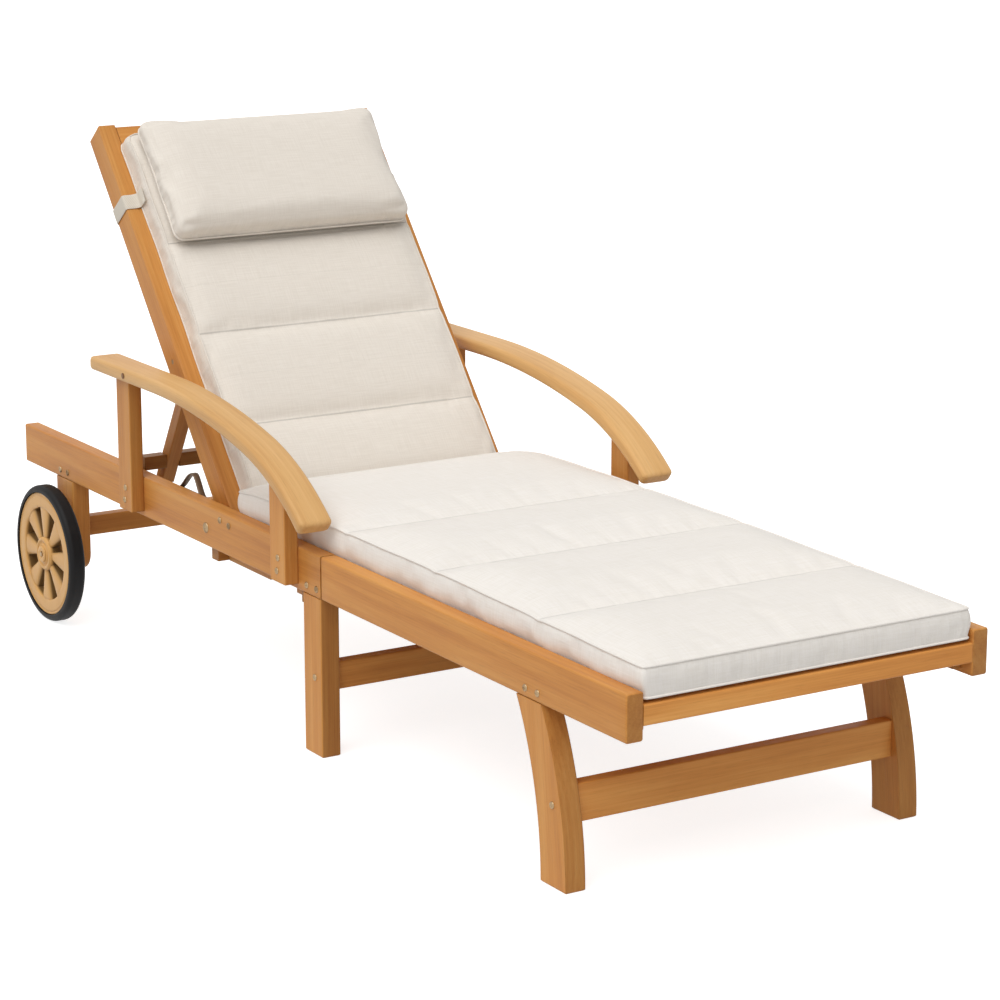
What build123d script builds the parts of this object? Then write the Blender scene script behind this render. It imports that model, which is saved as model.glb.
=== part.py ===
from build123d import *
from math import cos, radians, sin, sqrt
import os

os.makedirs("parts", exist_ok=True)

# Sun lounger in its own frame: +X towards the foot end, +Y the sitter's left, +Z up.
# The origin is on the floor, under the middle of the side rails.

# Overall frame
length = 2000.0
frame_width = 624.0
rail_height = 70.0
rail_thickness = 28.0
rail_top = 330.0
rail_joint_x = 146.0
rail_edge = 3.0
overrun = 5.0
contact_gap = 0.3
sides = {"left": 1, "right": -1}

rail_bottom = rail_top - rail_height
half_length = length / 2
rail_outer = frame_width / 2
rail_inner = rail_outer - rail_thickness

# Legs: the body stands under the rail, flush with its outer face, and a tongue goes up
# into a housing cut in the rail's inner face
leg_thickness = 33.0
tongue_thickness = 14.0
tongue_height = 58.0
mid_leg_width = 58.0
rear_leg_width = 70.0
rear_leg_inset = 171.0
front_leg_width = 65.0
front_leg_inset = 179.5
front_leg_bend = 550.0
foot_chamfer = 2.0
leg_edge = 2.5
leg_inner = rail_outer - leg_thickness
rear_leg_x = rear_leg_inset - half_length
mid_leg_x = rail_joint_x - mid_leg_width / 2
front_leg_foot_x = half_length - front_leg_inset


def front_leg_shift(z):
    return front_leg_bend - sqrt(front_leg_bend**2 - z**2)


front_leg_top_x = front_leg_foot_x - front_leg_shift(rail_bottom)

# Leg stretchers and the cross rail at the foot
stretcher_thickness = 24.0
rear_stretcher_height = 36.0
rear_stretcher_z = 170.0
rear_stretcher_shift = 7.0
mid_stretcher_height = 45.0
mid_stretcher_z = 128.5
mid_stretcher_shift = 7.0
front_stretcher_height = 57.0
front_stretcher_z = 121.5
front_stretcher_shift = 3.0
foot_rail_height = 30.0
foot_rail_thickness = 24.0
foot_rail_drop = 19.0
foot_rail_back = half_length - foot_rail_thickness
rear_stretcher_x = rear_leg_x + rear_stretcher_shift
mid_stretcher_x = mid_leg_x + mid_stretcher_shift
front_stretcher_x = front_leg_foot_x - front_stretcher_shift

# Pivot of the backrest
pivot_x = -252.0
pivot_rise = 31.5
pivot_z = rail_bottom + pivot_rise

# Seat: slats on two ledgers that bridge the joints of the rails
ledger_thickness = 16.0
ledger_height = 34.0
ledger_pivot_gap = 42.0
slat_thickness = 14.0
slat_drop = 14.0
slat_width = 70.0
slat_count = 12
slat_side_gap = 1.0
slat_end_gap = 6.0
slat_edge = 2.0
slat_rear_gap = 20.0
ledger_rear_x = pivot_x + ledger_pivot_gap
slat_rear_x = ledger_rear_x + slat_rear_gap
seat_surface = rail_top - slat_drop
ledger_top = seat_surface - slat_thickness
slat_pitch = (foot_rail_back - slat_end_gap - slat_width - slat_rear_x) / (slat_count - 1)

# Armrests: boards bent down towards the foot, on posts bolted outside the rails
arm_width = 58.0
arm_thickness = 24.0
arm_overhang = 14.0
arm_rise = 171.5
arm_rear_reach = 105.0
arm_straight_reach = 135.0
arm_bend_radii = [1450.0, 450.0]
arm_bend_angles = [13.2, 27.4]
arm_edge = 4.0
arm_corner = 9.0
post_thickness = 24.0
post_width = 51.0
post_foot = 10.0
post_edge = 2.0
rear_post_setback = 263.0
front_post_setback = 97.5
post_places = {"rear": pivot_x - rear_post_setback, "front": rail_joint_x - front_post_setback}
arm_outer = rail_outer + post_thickness + arm_overhang
arm_underside = rail_top + arm_rise
arm_rear_x = post_places["rear"] - arm_rear_reach
arm_bend_x = post_places["rear"] + arm_straight_reach

# Backrest: stiles on pivot bolts between the rails, set at the photographed slope
back_slope = 50.5
stile_depth = 49.0
stile_thickness = 33.0
stile_gap = 14.0
stile_length = 779.0
stile_bevel = 8.0
stile_edge = 2.5
back_slat_width = 60.0
back_slat_thickness = 11.0
back_slat_count = 7
back_slat_first = 62.0
back_slat_last = 678.0
back_slat_edge = 1.5
top_rail_depth = 40.0
top_rail_thickness = 22.0
top_rail_s = 755.0
stile_outer = rail_inner - stile_gap
stile_inner = stile_outer - stile_thickness
stile_half_depth = stile_depth / 2

# Prop: two struts hung on the stiles, joined by the bar that rides over the racks
prop_pivot_s = 314.3
prop_reach = 229.5
prop_angle = 110.1
strut_width = 24.0
strut_thickness = 25.0
strut_tail = 45.0
strut_gap = 1.0
strut_edge = 1.5
bar_width = 26.0
bar_height = 24.0
bar_end_gap = 6.0
bar_edge = 1.5
bar_tenon_radius = 7.0
fold_ratio = 1.95
bar_half_length = rail_inner - bar_end_gap
strut_outer = stile_inner - strut_gap
strut_inner = strut_outer - strut_thickness

# Racks: saw-tooth strips inside the rails, each with a bent steel bow at its foot end
rack_thickness = 13.0
rack_foot_gap = 2.0
rack_top_drop = 10.0
rack_pivot_gap = 68.0
rack_tooth_depth = 7.0
rack_tooth_count = 7
rack_first_fold_angle = -29.0
rack_last_fold_angle = 2.8
rack_ride_gap = 1.2
rack_end_slack = 6.0
bow_strip = 4.0
bow_width = 11.0
bow_length = 98.0
bow_end_gap = 6.0
bow_peak_setback = 35.0
bow_rise = 35.0
bow_bend = 9.0
bow_top = 24.0
bow_rear_foot = 22.0
bow_front_foot = 12.0
rack_bottom = rail_bottom + rack_foot_gap
rack_flat_top = rail_top - rack_top_drop
rack_front_x = pivot_x - rack_pivot_gap
bow_front_x = rack_front_x - bow_end_gap
bow_rear_x = bow_front_x - bow_length
bow_peak_x = bow_front_x - bow_peak_setback

# Pivot hardware
pivot_bolt_radius = 5.0
pivot_head_radius = 9.0
pivot_head_height = 3.0
pivot_nut_radius = 8.0
pivot_nut_height = 4.7
running_gap = 0.08
packer_length = 70.0
packer_foot_gap = 4.0
packer_top_drop = 8.0
prop_pin_radius = 4.0
prop_pin_head_radius = 7.0
prop_pin_head = 3.0
packer_bottom = rail_bottom + packer_foot_gap
packer_top = rail_top - packer_top_drop

# Wheels
wheel_radius = 125.0
tyre_clearance = 17.0
tyre_width = 30.0
tyre_round = 9.0
tyre_inner = 112.6
disc_radius = 112.5
disc_width = 26.0
disc_edge = 1.5
rim_inner = 85.0
hub_radius = 31.0
hub_proud = 3.0
spoke_count = 8
spoke_taper_share = 0.44
window_corner = 3.5
axle_radius = 6.0
axle_collar_radius = 12.0
axle_collar_length = 16.5
axle_head_radius = 10.0
axle_head_height = 5.0
axle_head_play = 0.6
axle_tip_radius = 4.0
axle_tip_height = 3.5
axle_nut_height = 7.0
cap_radius = 16.0
cap_bore = 4.6
cap_height = 3.0
wheel_centre_y = rail_outer + tyre_clearance + tyre_width / 2
wheel_outer = wheel_centre_y + tyre_width / 2
hub_inner_y = rail_outer + axle_collar_length + contact_gap
hub_outer_y = wheel_centre_y + disc_width / 2 + hub_proud
head_recess = axle_head_height + 2 * contact_gap

# Pull-out side tray under the seat, on two runners
tray_rear_x = -230.0
tray_front_x = 60.0
tray_face_setback = 31.0
tray_board = 20.0
tray_board_height = 21.3
tray_top_gap = 2.7
tray_side_width = 22.0
tray_side_height = 10.0
tray_side_play = 1.5
tray_back_setback = 104.0
tray_slat_count = 5
tray_slat_gap = 6.0
tray_pull_x = -36.5
tray_pull_width = 91.0
tray_pull_depth = 15.0
tray_pull_corner = 6.0
runner_width = 24.0
runner_height = 24.0
runner_setback = 12.0
runner_clearance = 2.0
runner_lip = 10.0
runner_lip_height = 4.0
tray_face_y = rail_outer - tray_face_setback
tray_back_y = rail_inner - tray_back_setback
runner_reach = rail_outer - runner_setback
tray_top = rail_bottom - tray_top_gap
runner_bottom = rail_bottom - runner_height
runner_lip_top = runner_bottom + runner_lip_height
tray_board_inner = tray_face_y - tray_board

# Fasteners
bolt_radius = 3.0
bolt_hole_gap = 0.1
bolt_head_radius = 5.5
bolt_head_height = 2.5
leg_bolt_spacing = 32.0
leg_bolt_rise = 14.0
leg_bolt_depth = 26.0
stretcher_bolt_depth = 25.0
post_screw_rise = 39.0
post_screw_spacing = 22.0
post_screw_shift = 4.0
post_screw_depth = 18.0
ledger_screw_setbacks = [10.0, 42.0]
ledger_screw_drops = [15.0, 18.0]
ledger_screw_depth = 20.0
arm_plug_reach = 35.0
arm_plug_radius = 5.0
arm_plug_height = 1.0
ledger_screw_places = [(ledger_rear_x + setback, rail_top - drop)
                       for setback, drop in zip(ledger_screw_setbacks, ledger_screw_drops)]
arm_plug_x = post_places["rear"] + arm_plug_reach

# Cushions and their straps
seat_pad_side_gap = 4.0
seat_pad_edge = 45.7
seat_pad_crown = 13.0
seat_pad_foot_gap = 5.0
seat_pad_rear_gap = 5.0
seat_pad_lean = 16.0
seat_seams_x = [180.0, 460.0, 752.0]
back_pad_stile_lap = 4.0
back_pad_edge = 44.2
back_pad_crown = 7.0
back_pad_top = 741.0
back_seams_s = [148.0, 330.0, 512.0]
pad_bulge = 2.0
pad_corner_draw = 9.0
seam_crown_share = 0.4
panel_stations_shares = [(0.1, 0.8), (0.3, 0.97), (0.5, 1.0), (0.7, 0.97), (0.9, 0.8)]
pillow_side_inset = 12.0
pillow_low = 505.0
pillow_high = 716.0
pillow_low_depth = 50.0
pillow_high_depth = 30.0
pillow_crown = 4.0
pillow_gap = 0.5
strap_width = 28.0
strap_thickness = 1.5
strap_s = 620.0
strap_rise = 20.0
strap_tuck = 30.0
seat_pad_half = rail_inner - seat_pad_side_gap
seat_pad_foot_x = half_length - seat_pad_foot_gap
seat_pad_rear_x = slat_rear_x + seat_pad_rear_gap
back_pad_half = stile_inner + back_pad_stile_lap
pillow_half = back_pad_half - pillow_side_inset


def side_plane(y):
    # Upright plane along the lounger: local x is +X, local y is +Z, extruding towards -Y
    return Plane(origin=(0, y, 0), x_dir=(1, 0, 0), z_dir=(0, -1, 0))


back_along = Vector(-cos(radians(back_slope)), 0, sin(radians(back_slope)))
pivot_point = Vector(pivot_x, 0, pivot_z)


def back_plane(y):
    # Side of the backrest: local x runs up it, local y out of its front, extruding to -Y
    x_dir = (back_along.X, 0, back_along.Z)
    return Plane(origin=(pivot_x, y, pivot_z), x_dir=x_dir, z_dir=(0, 1, 0))


def back_section(s):
    # Plane across the backrest at s along it: local y points out of its front
    return Plane(origin=pivot_point + back_along * s, x_dir=(0, -1, 0), z_dir=back_along)


def cross_section(x):
    # Plane across the lounger at x: local x is -Y, local y is +Z
    return Plane(origin=(x, 0, seat_surface), x_dir=(0, 1, 0), z_dir=(1, 0, 0))


def save(part, name):
    part.label = name
    export_step(part, f"parts/{name}.step")


def bar_state(fold):
    # Centre of the prop bar and the lowest reach of its corners, fold degrees from rest
    slope = radians(back_slope + fold)
    strut = radians(prop_angle + fold_ratio * fold) - slope
    x = pivot_x - prop_pivot_s * cos(slope) - prop_reach * cos(strut)
    z = pivot_z + prop_pivot_s * sin(slope) - prop_reach * sin(strut)
    turn = abs(radians((fold_ratio - 1) * fold))
    drop = bar_width / 2 * sin(turn) + bar_height / 2 * cos(turn)
    lean = bar_width / 2 * cos(turn) - bar_height / 2 * sin(turn)
    return x, z, drop, lean if fold < 0 else -lean


# Places of the bolts through each leg's tongue and of the screws in the arm posts
leg_places = {"rear": rear_leg_x, "mid": mid_leg_x, "front": front_leg_top_x}
leg_widths = {"rear": rear_leg_width, "mid": mid_leg_width, "front": front_leg_width}


def leg_bolt_places(leg):
    z = rail_bottom + leg_bolt_rise
    return [(leg_places[leg] + end * leg_bolt_spacing / 2, z) for end in (-1, 1)]


def post_screw_places(post):
    x = post_places[post]
    z = rail_bottom + post_screw_rise
    return [(x + end * post_screw_shift / 2, z + end * post_screw_spacing / 2) for end in (-1, 1)]


stretcher_places = {
    "rear": (rear_stretcher_x, rear_stretcher_z, rear_stretcher_height),
    "mid": (mid_stretcher_x, mid_stretcher_z, mid_stretcher_height),
    "front": (front_stretcher_x, front_stretcher_z, front_stretcher_height),
}

# Side rails, each in a rear and a front half that meet beside the mid leg
rail_halves = {
    "rear": (-half_length, rail_joint_x, ["rear", "mid"], ["rear", "front"]),
    "front": (rail_joint_x, half_length, ["front"], []),
}
for half, (x_start, x_end, legs, posts) in rail_halves.items():
    for side, sign in sides.items():
        with BuildPart() as rail:
            with BuildSketch(side_plane(sign * rail_outer)):
                with Locations(((x_start + x_end) / 2, (rail_top + rail_bottom) / 2)):
                    Rectangle(x_end - x_start, rail_height)
            extrude(amount=sign * rail_thickness)
            fillet(rail.edges().filter_by(Axis.X), rail_edge)
            with BuildSketch(side_plane(sign * rail_inner)):
                for leg in legs:
                    with Locations((leg_places[leg], rail_bottom + tongue_height / 2)):
                        Rectangle(leg_widths[leg], tongue_height)
                    with Locations((leg_places[leg], rail_bottom)):
                        Rectangle(leg_widths[leg], 2 * overrun)
            extrude(amount=-sign * tongue_thickness, mode=Mode.SUBTRACT)
            bolts = [place for leg in legs for place in leg_bolt_places(leg)]
            bolts += [place for post in posts for place in post_screw_places(post)]
            bolts += ledger_screw_places if half == "rear" else []
            with BuildSketch(side_plane(sign * (rail_outer + overrun))):
                with Locations(bolts):
                    Circle(bolt_radius + bolt_hole_gap)
                if half == "rear":
                    with Locations((pivot_x, pivot_z)):
                        Circle(pivot_bolt_radius + bolt_hole_gap)
            extrude(amount=sign * (rail_thickness + 2 * overrun), mode=Mode.SUBTRACT)
        save(rail.part, f"{half}_rail_{side}")

# Legs: the rear pair carries the axles and ends round above the floor, the mid pair is
# straight, and the front pair curves out to stand upright at the floor
for leg in leg_places:
    x_top = leg_places[leg]
    width = leg_widths[leg]
    for side, sign in sides.items():
        with BuildPart() as wooden_leg:
            with BuildSketch(side_plane(sign * rail_outer)):
                if leg == "front":
                    with BuildLine():
                        bends = []
                        for end in (-1, 1):
                            edge_x = front_leg_foot_x + end * width / 2
                            heights = (0, rail_bottom / 2, rail_bottom)
                            points = [(edge_x - front_leg_shift(z), z) for z in heights]
                            bends.append(ThreePointArc(*points))
                        Line(bends[0] @ 0, bends[1] @ 0)
                        Line(bends[0] @ 1, bends[1] @ 1)
                    make_face()
                else:
                    foot_z = wheel_radius if leg == "rear" else 0
                    with Locations((x_top, (foot_z + rail_bottom) / 2)):
                        Rectangle(width, rail_bottom - foot_z)
                if leg == "rear":
                    with Locations((x_top, wheel_radius)):
                        Circle(width / 2)
            extrude(amount=sign * leg_thickness)
            if leg == "rear":
                long_edges = wooden_leg.faces().filter_by(Axis.Y).edges()
                long_edges = long_edges.sort_by(Axis.Z)[:-2]
                fillet(long_edges, leg_edge)
            elif leg == "mid":
                fillet(wooden_leg.edges().filter_by(Axis.Z), leg_edge)
            if leg != "rear":
                chamfer(wooden_leg.faces().sort_by(Axis.Z)[0].edges(), foot_chamfer)
            with BuildSketch(side_plane(sign * (rail_inner + tongue_thickness))):
                with Locations((x_top, rail_bottom + tongue_height / 2)):
                    Rectangle(width, tongue_height)
            extrude(amount=sign * tongue_thickness)
            with BuildSketch(side_plane(sign * (rail_outer + overrun))):
                with Locations(leg_bolt_places(leg) + [stretcher_places[leg][:2]]):
                    Circle(bolt_radius + bolt_hole_gap)
                if leg == "rear":
                    with Locations((x_top, wheel_radius)):
                        Circle(axle_radius + bolt_hole_gap)
            extrude(amount=sign * (leg_thickness + 2 * overrun), mode=Mode.SUBTRACT)
        save(wooden_leg.part, f"{leg}_leg_{side}")

# Stretchers between the legs
for leg, (x, z, height) in stretcher_places.items():
    with BuildPart() as stretcher:
        with Locations((x, 0, z)):
            Box(stretcher_thickness, 2 * leg_inner, height)
        fillet(stretcher.edges().filter_by(Axis.Y), leg_edge)
        for sign in sides.values():
            with BuildSketch(side_plane(sign * leg_inner)):
                with Locations((x, z)):
                    Circle(bolt_radius + bolt_hole_gap)
            extrude(amount=sign * stretcher_bolt_depth, mode=Mode.SUBTRACT)
    save(stretcher.part, f"{leg}_stretcher")

# Cross rail at the foot, between the side rails
with BuildPart() as foot_rail:
    with Locations((half_length - foot_rail_thickness / 2, 0,
                    rail_top - foot_rail_drop - foot_rail_height / 2)):
        Box(foot_rail_thickness, 2 * rail_inner, foot_rail_height)
    fillet(foot_rail.edges().filter_by(Axis.Y), leg_edge)
save(foot_rail.part, "foot_rail")

# Ledgers that carry the seat slats
for side, sign in sides.items():
    with BuildPart() as ledger:
        with Locations(((ledger_rear_x + foot_rail_back) / 2,
                        sign * (rail_inner - ledger_thickness / 2),
                        ledger_top - ledger_height / 2)):
            Box(foot_rail_back - ledger_rear_x, ledger_thickness, ledger_height)
    save(ledger.part, f"seat_ledger_{side}")

# Seat slats
with BuildPart() as seat_slats:
    with Locations([(slat_rear_x + slat_width / 2 + slat_pitch * index, 0,
                     ledger_top + slat_thickness / 2) for index in range(slat_count)]):
        Box(slat_width, 2 * (rail_inner - slat_side_gap), slat_thickness)
    fillet(seat_slats.edges().filter_by(Axis.Y), slat_edge)
save(seat_slats.part, "seat_slats")

# Underside of the armrests: straight, then two arcs that turn down to the tip
arm_arcs = []
arc_start = (arm_bend_x, arm_underside)
arc_turn = 0
for radius, angle in zip(arm_bend_radii, arm_bend_angles):
    centre = (arc_start[0] - radius * sin(radians(arc_turn)),
              arc_start[1] - radius * cos(radians(arc_turn)))
    arm_arcs.append((centre, radius, arc_turn, arc_turn + angle))
    arc_turn += angle
    arc_start = (centre[0] + radius * sin(radians(arc_turn)),
                 centre[1] + radius * cos(radians(arc_turn)))


def arm_point(arc, share, height):
    # Point on one of the arcs, at a share of its turn and a height over the underside
    centre, radius, turn_start, turn_end = arm_arcs[arc]
    turn = radians(turn_start + share * (turn_end - turn_start))
    reach = radius + height
    return (centre[0] + reach * sin(turn), centre[1] + reach * cos(turn))


def arm_height(x):
    # Height of the armrests' underside at x
    for centre, radius, turn_start, turn_end in reversed(arm_arcs):
        if x > centre[0] + radius * sin(radians(turn_start)):
            return centre[1] + sqrt(radius**2 - (x - centre[0]) ** 2)
    return arm_underside


for side, sign in sides.items():
    with BuildPart() as armrest:
        with BuildSketch(side_plane(sign * arm_outer)):
            with BuildLine():
                for height in (0, arm_thickness):
                    Line((arm_rear_x, arm_underside + height), arm_point(0, 0, height))
                    for arc in range(len(arm_arcs)):
                        ThreePointArc(*[arm_point(arc, share, height) for share in (0, 0.5, 1)])
                Line((arm_rear_x, arm_underside), (arm_rear_x, arm_underside + arm_thickness))
                Line(arm_point(-1, 1, 0), arm_point(-1, 1, arm_thickness))
            make_face()
        extrude(amount=sign * arm_width)
        arm_ends = armrest.faces().sort_by(Axis.X)
        corners = [arm_end.edges().filter_by(Axis.Y, reverse=True)
                   for arm_end in (arm_ends[0], arm_ends[-1])]
        fillet(corners[0] + corners[1], arm_corner)
        fillet(armrest.faces().filter_by(Axis.Y).edges(), arm_edge)
    save(armrest.part, f"armrest_{side}")

# Arm posts stand against the rails; each top is cut to the armrest's underside
for post, x_centre in post_places.items():
    for side, sign in sides.items():
        with BuildPart() as arm_post:
            x_back = x_centre - post_width / 2
            x_front = x_centre + post_width / 2
            foot = rail_bottom + post_foot
            top_back = (x_back, arm_height(x_back))
            top_front = (x_front, arm_height(x_front))
            with BuildSketch(side_plane(sign * rail_outer)):
                with BuildLine():
                    Polyline(top_back, (x_back, foot), (x_front, foot), top_front)
                    if post == "rear":
                        Line(top_back, top_front)
                    else:
                        ThreePointArc(top_back, (x_centre, arm_height(x_centre)), top_front)
                make_face()
            extrude(amount=-sign * post_thickness)
            fillet(arm_post.edges().filter_by(Axis.Z), post_edge)
            with BuildSketch(side_plane(sign * rail_outer)):
                with Locations(post_screw_places(post)):
                    Circle(bolt_radius + bolt_hole_gap)
            extrude(amount=-sign * post_thickness, mode=Mode.SUBTRACT)
        save(arm_post.part, f"arm_post_{post}_{side}")

# Packers between the rails and the stiles at the backrest's pivots
for side, sign in sides.items():
    with BuildPart() as packer:
        with BuildSketch(side_plane(sign * rail_inner)):
            with Locations((pivot_x, (packer_bottom + packer_top) / 2)):
                Rectangle(packer_length, packer_top - packer_bottom)
            with Locations((pivot_x, pivot_z)):
                Circle(pivot_bolt_radius + bolt_hole_gap, mode=Mode.SUBTRACT)
        extrude(amount=sign * (rail_inner - stile_outer - contact_gap))
    save(packer.part, f"hinge_packer_{side}")

# Backrest stiles, round at the pivot and bevelled at the top
for side, sign in sides.items():
    with BuildPart() as stile:
        with BuildSketch(back_plane(sign * stile_outer)) as outline:
            with Locations((stile_length / 2, 0)):
                Rectangle(stile_length, stile_depth)
            Circle(stile_half_depth)
            chamfer(outline.vertices().sort_by(Axis.X)[:2], stile_bevel)
        extrude(amount=-sign * stile_thickness)
        side_edges = stile.faces().filter_by(Axis.Y).edges()
        fillet(side_edges, stile_edge)
        with BuildSketch(back_plane(sign * stile_outer)):
            Circle(pivot_bolt_radius + running_gap)
            with Locations((prop_pivot_s, 0)):
                Circle(prop_pin_radius)
        extrude(amount=-sign * stile_thickness, mode=Mode.SUBTRACT)
    save(stile.part, f"back_stile_{side}")

# Top rail and slats between the stiles
with BuildPart() as back_top_rail:
    with BuildSketch(back_plane(stile_inner)):
        with Locations((top_rail_s, stile_half_depth - top_rail_thickness / 2)):
            Rectangle(top_rail_depth, top_rail_thickness)
    extrude(amount=-2 * stile_inner)
    fillet(back_top_rail.edges().filter_by(Axis.Y), stile_edge)
save(back_top_rail.part, "back_top_rail")

with BuildPart() as back_slats:
    back_slat_pitch = (back_slat_last - back_slat_first) / (back_slat_count - 1)
    with BuildSketch(back_plane(stile_inner)):
        with Locations([(back_slat_first + back_slat_pitch * index,
                         stile_half_depth - back_slat_thickness / 2)
                        for index in range(back_slat_count)]):
            Rectangle(back_slat_width, back_slat_thickness)
    extrude(amount=-2 * stile_inner)
    fillet(back_slats.edges().filter_by(Axis.Y), back_slat_edge)
save(back_slats.part, "back_slats")

# Pins on which the prop's struts turn
with BuildPart() as prop_pins:
    for sign in sides.values():
        head_y = strut_inner - prop_pin_head
        with BuildSketch(back_plane(sign * head_y)):
            with Locations((prop_pivot_s, 0)):
                Circle(prop_pin_radius)
        extrude(amount=sign * (stile_outer - head_y))
        with BuildSketch(back_plane(sign * head_y)):
            with Locations((prop_pivot_s, 0)):
                Circle(prop_pin_head_radius)
        extrude(amount=sign * (prop_pin_head - contact_gap))
save(prop_pins.part, "prop_pins")

# Prop struts, round at the top, with a hole for the bar's tenon
strut_slope = radians(prop_angle - back_slope)
strut_dir = Vector(-cos(strut_slope), 0, -sin(strut_slope))
prop_pivot = pivot_point + back_along * prop_pivot_s
strut_length = prop_reach + strut_tail


def strut_plane(y):
    # Side of a strut: local x runs down it from the prop's pivot
    return Plane(origin=(prop_pivot.X, y, prop_pivot.Z), x_dir=strut_dir, z_dir=(0, 1, 0))


for side, sign in sides.items():
    with BuildPart() as strut:
        with BuildSketch(strut_plane(sign * strut_outer)):
            with Locations((strut_length / 2, 0)):
                Rectangle(strut_length, strut_width)
            Circle(strut_width / 2)
        extrude(amount=-sign * strut_thickness)
        fillet(strut.faces().filter_by(Axis.Y).edges(), strut_edge)
        with BuildSketch(strut_plane(sign * strut_outer)):
            Circle(prop_pin_radius + running_gap)
            with Locations((prop_reach, 0)):
                Circle(bar_tenon_radius)
        extrude(amount=-sign * strut_thickness, mode=Mode.SUBTRACT)
    save(strut.part, f"prop_strut_{side}")

# Prop bar: a square bar between the struts and a square stub outside each of them,
# joined through the struts by round tenons
with BuildPart() as prop_bar:
    bar_centre = prop_pivot + strut_dir * prop_reach
    spans = [(-strut_inner, strut_inner)]
    spans += [(sign * strut_outer, sign * bar_half_length) for sign in sides.values()]
    for y_start, y_end in spans:
        with Locations((bar_centre.X, (y_start + y_end) / 2, bar_centre.Z)):
            Box(bar_width, abs(y_end - y_start), bar_height)
    fillet(prop_bar.edges().filter_by(Axis.Y), bar_edge)
    for sign in sides.values():
        with BuildSketch(side_plane(sign * strut_outer)):
            with Locations((bar_centre.X, bar_centre.Z)):
                Circle(bar_tenon_radius)
        extrude(amount=sign * strut_thickness)
save(prop_bar.part, "prop_bar")

# Racks inside the rails: each tooth's tip lies just under the bar's path, and a flat top
# carries the bow
tooth_angle = (rack_last_fold_angle - rack_first_fold_angle) / (rack_tooth_count - 1)
rack_tips = []
for index in range(rack_tooth_count):
    x, z, drop, lean = bar_state(rack_first_fold_angle + tooth_angle * index)
    rack_tips.append((x + lean, min(z - drop - rack_ride_gap, rack_flat_top)))
for side, sign in sides.items():
    with BuildPart() as rack:
        with BuildSketch(side_plane(sign * rail_inner)):
            with BuildLine():
                first_x = rack_tips[0][0] - rack_end_slack
                outline = [(rack_front_x, rack_bottom), (first_x, rack_bottom)]
                for index, (x, z) in enumerate(rack_tips):
                    root = max(z - rack_tooth_depth, rack_bottom + contact_gap)
                    if index:
                        outline.append((x - rack_end_slack, root))
                    else:
                        outline.append((first_x, root))
                    outline.append((x, z))
                outline.append((rack_front_x, rack_tips[-1][1]))
                Polyline(*outline, close=True)
            make_face()
        extrude(amount=sign * rack_thickness)
    save(rack.part, f"prop_rack_{side}")

# Bent steel bows on the racks: a strip with an arch over it
with BuildPart() as rack_bows:
    for sign in sides.values():
        bow_y = rail_inner - rack_thickness / 2 + bow_width / 2
        strip_z = rack_tips[-1][1] + bow_strip / 2
        with BuildSketch(side_plane(sign * bow_y)):
            with Locations(((bow_rear_x + bow_front_x) / 2, strip_z)):
                Rectangle(bow_front_x - bow_rear_x, bow_strip)
            with BuildLine():
                FilletPolyline((bow_rear_x, strip_z), (bow_rear_x + bow_rear_foot, strip_z),
                               (bow_peak_x - bow_top / 2, strip_z + bow_rise),
                               (bow_peak_x + bow_top / 2, strip_z + bow_rise),
                               (bow_front_x - bow_front_foot, strip_z), (bow_front_x, strip_z),
                               radius=bow_bend)
            trace(line_width=bow_strip)
        extrude(amount=sign * bow_width)
save(rack_bows.part, "rack_bows")

# Pivot bolts through rail, packer and stile, with a head outside and a nut inside
with BuildPart() as pivot_bolts:
    for sign in sides.values():
        nut_end = stile_inner - contact_gap - pivot_nut_height
        layers = [(rail_outer + pivot_head_height, rail_outer, pivot_head_radius),
                  (rail_outer, nut_end, pivot_bolt_radius),
                  (stile_inner - contact_gap, nut_end, pivot_nut_radius)]
        for y_outer, y_inner, radius in layers:
            with BuildSketch(side_plane(sign * y_outer)):
                with Locations((pivot_x, pivot_z)):
                    Circle(radius)
            extrude(amount=sign * (y_outer - y_inner))
save(pivot_bolts.part, "pivot_bolts")

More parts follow.
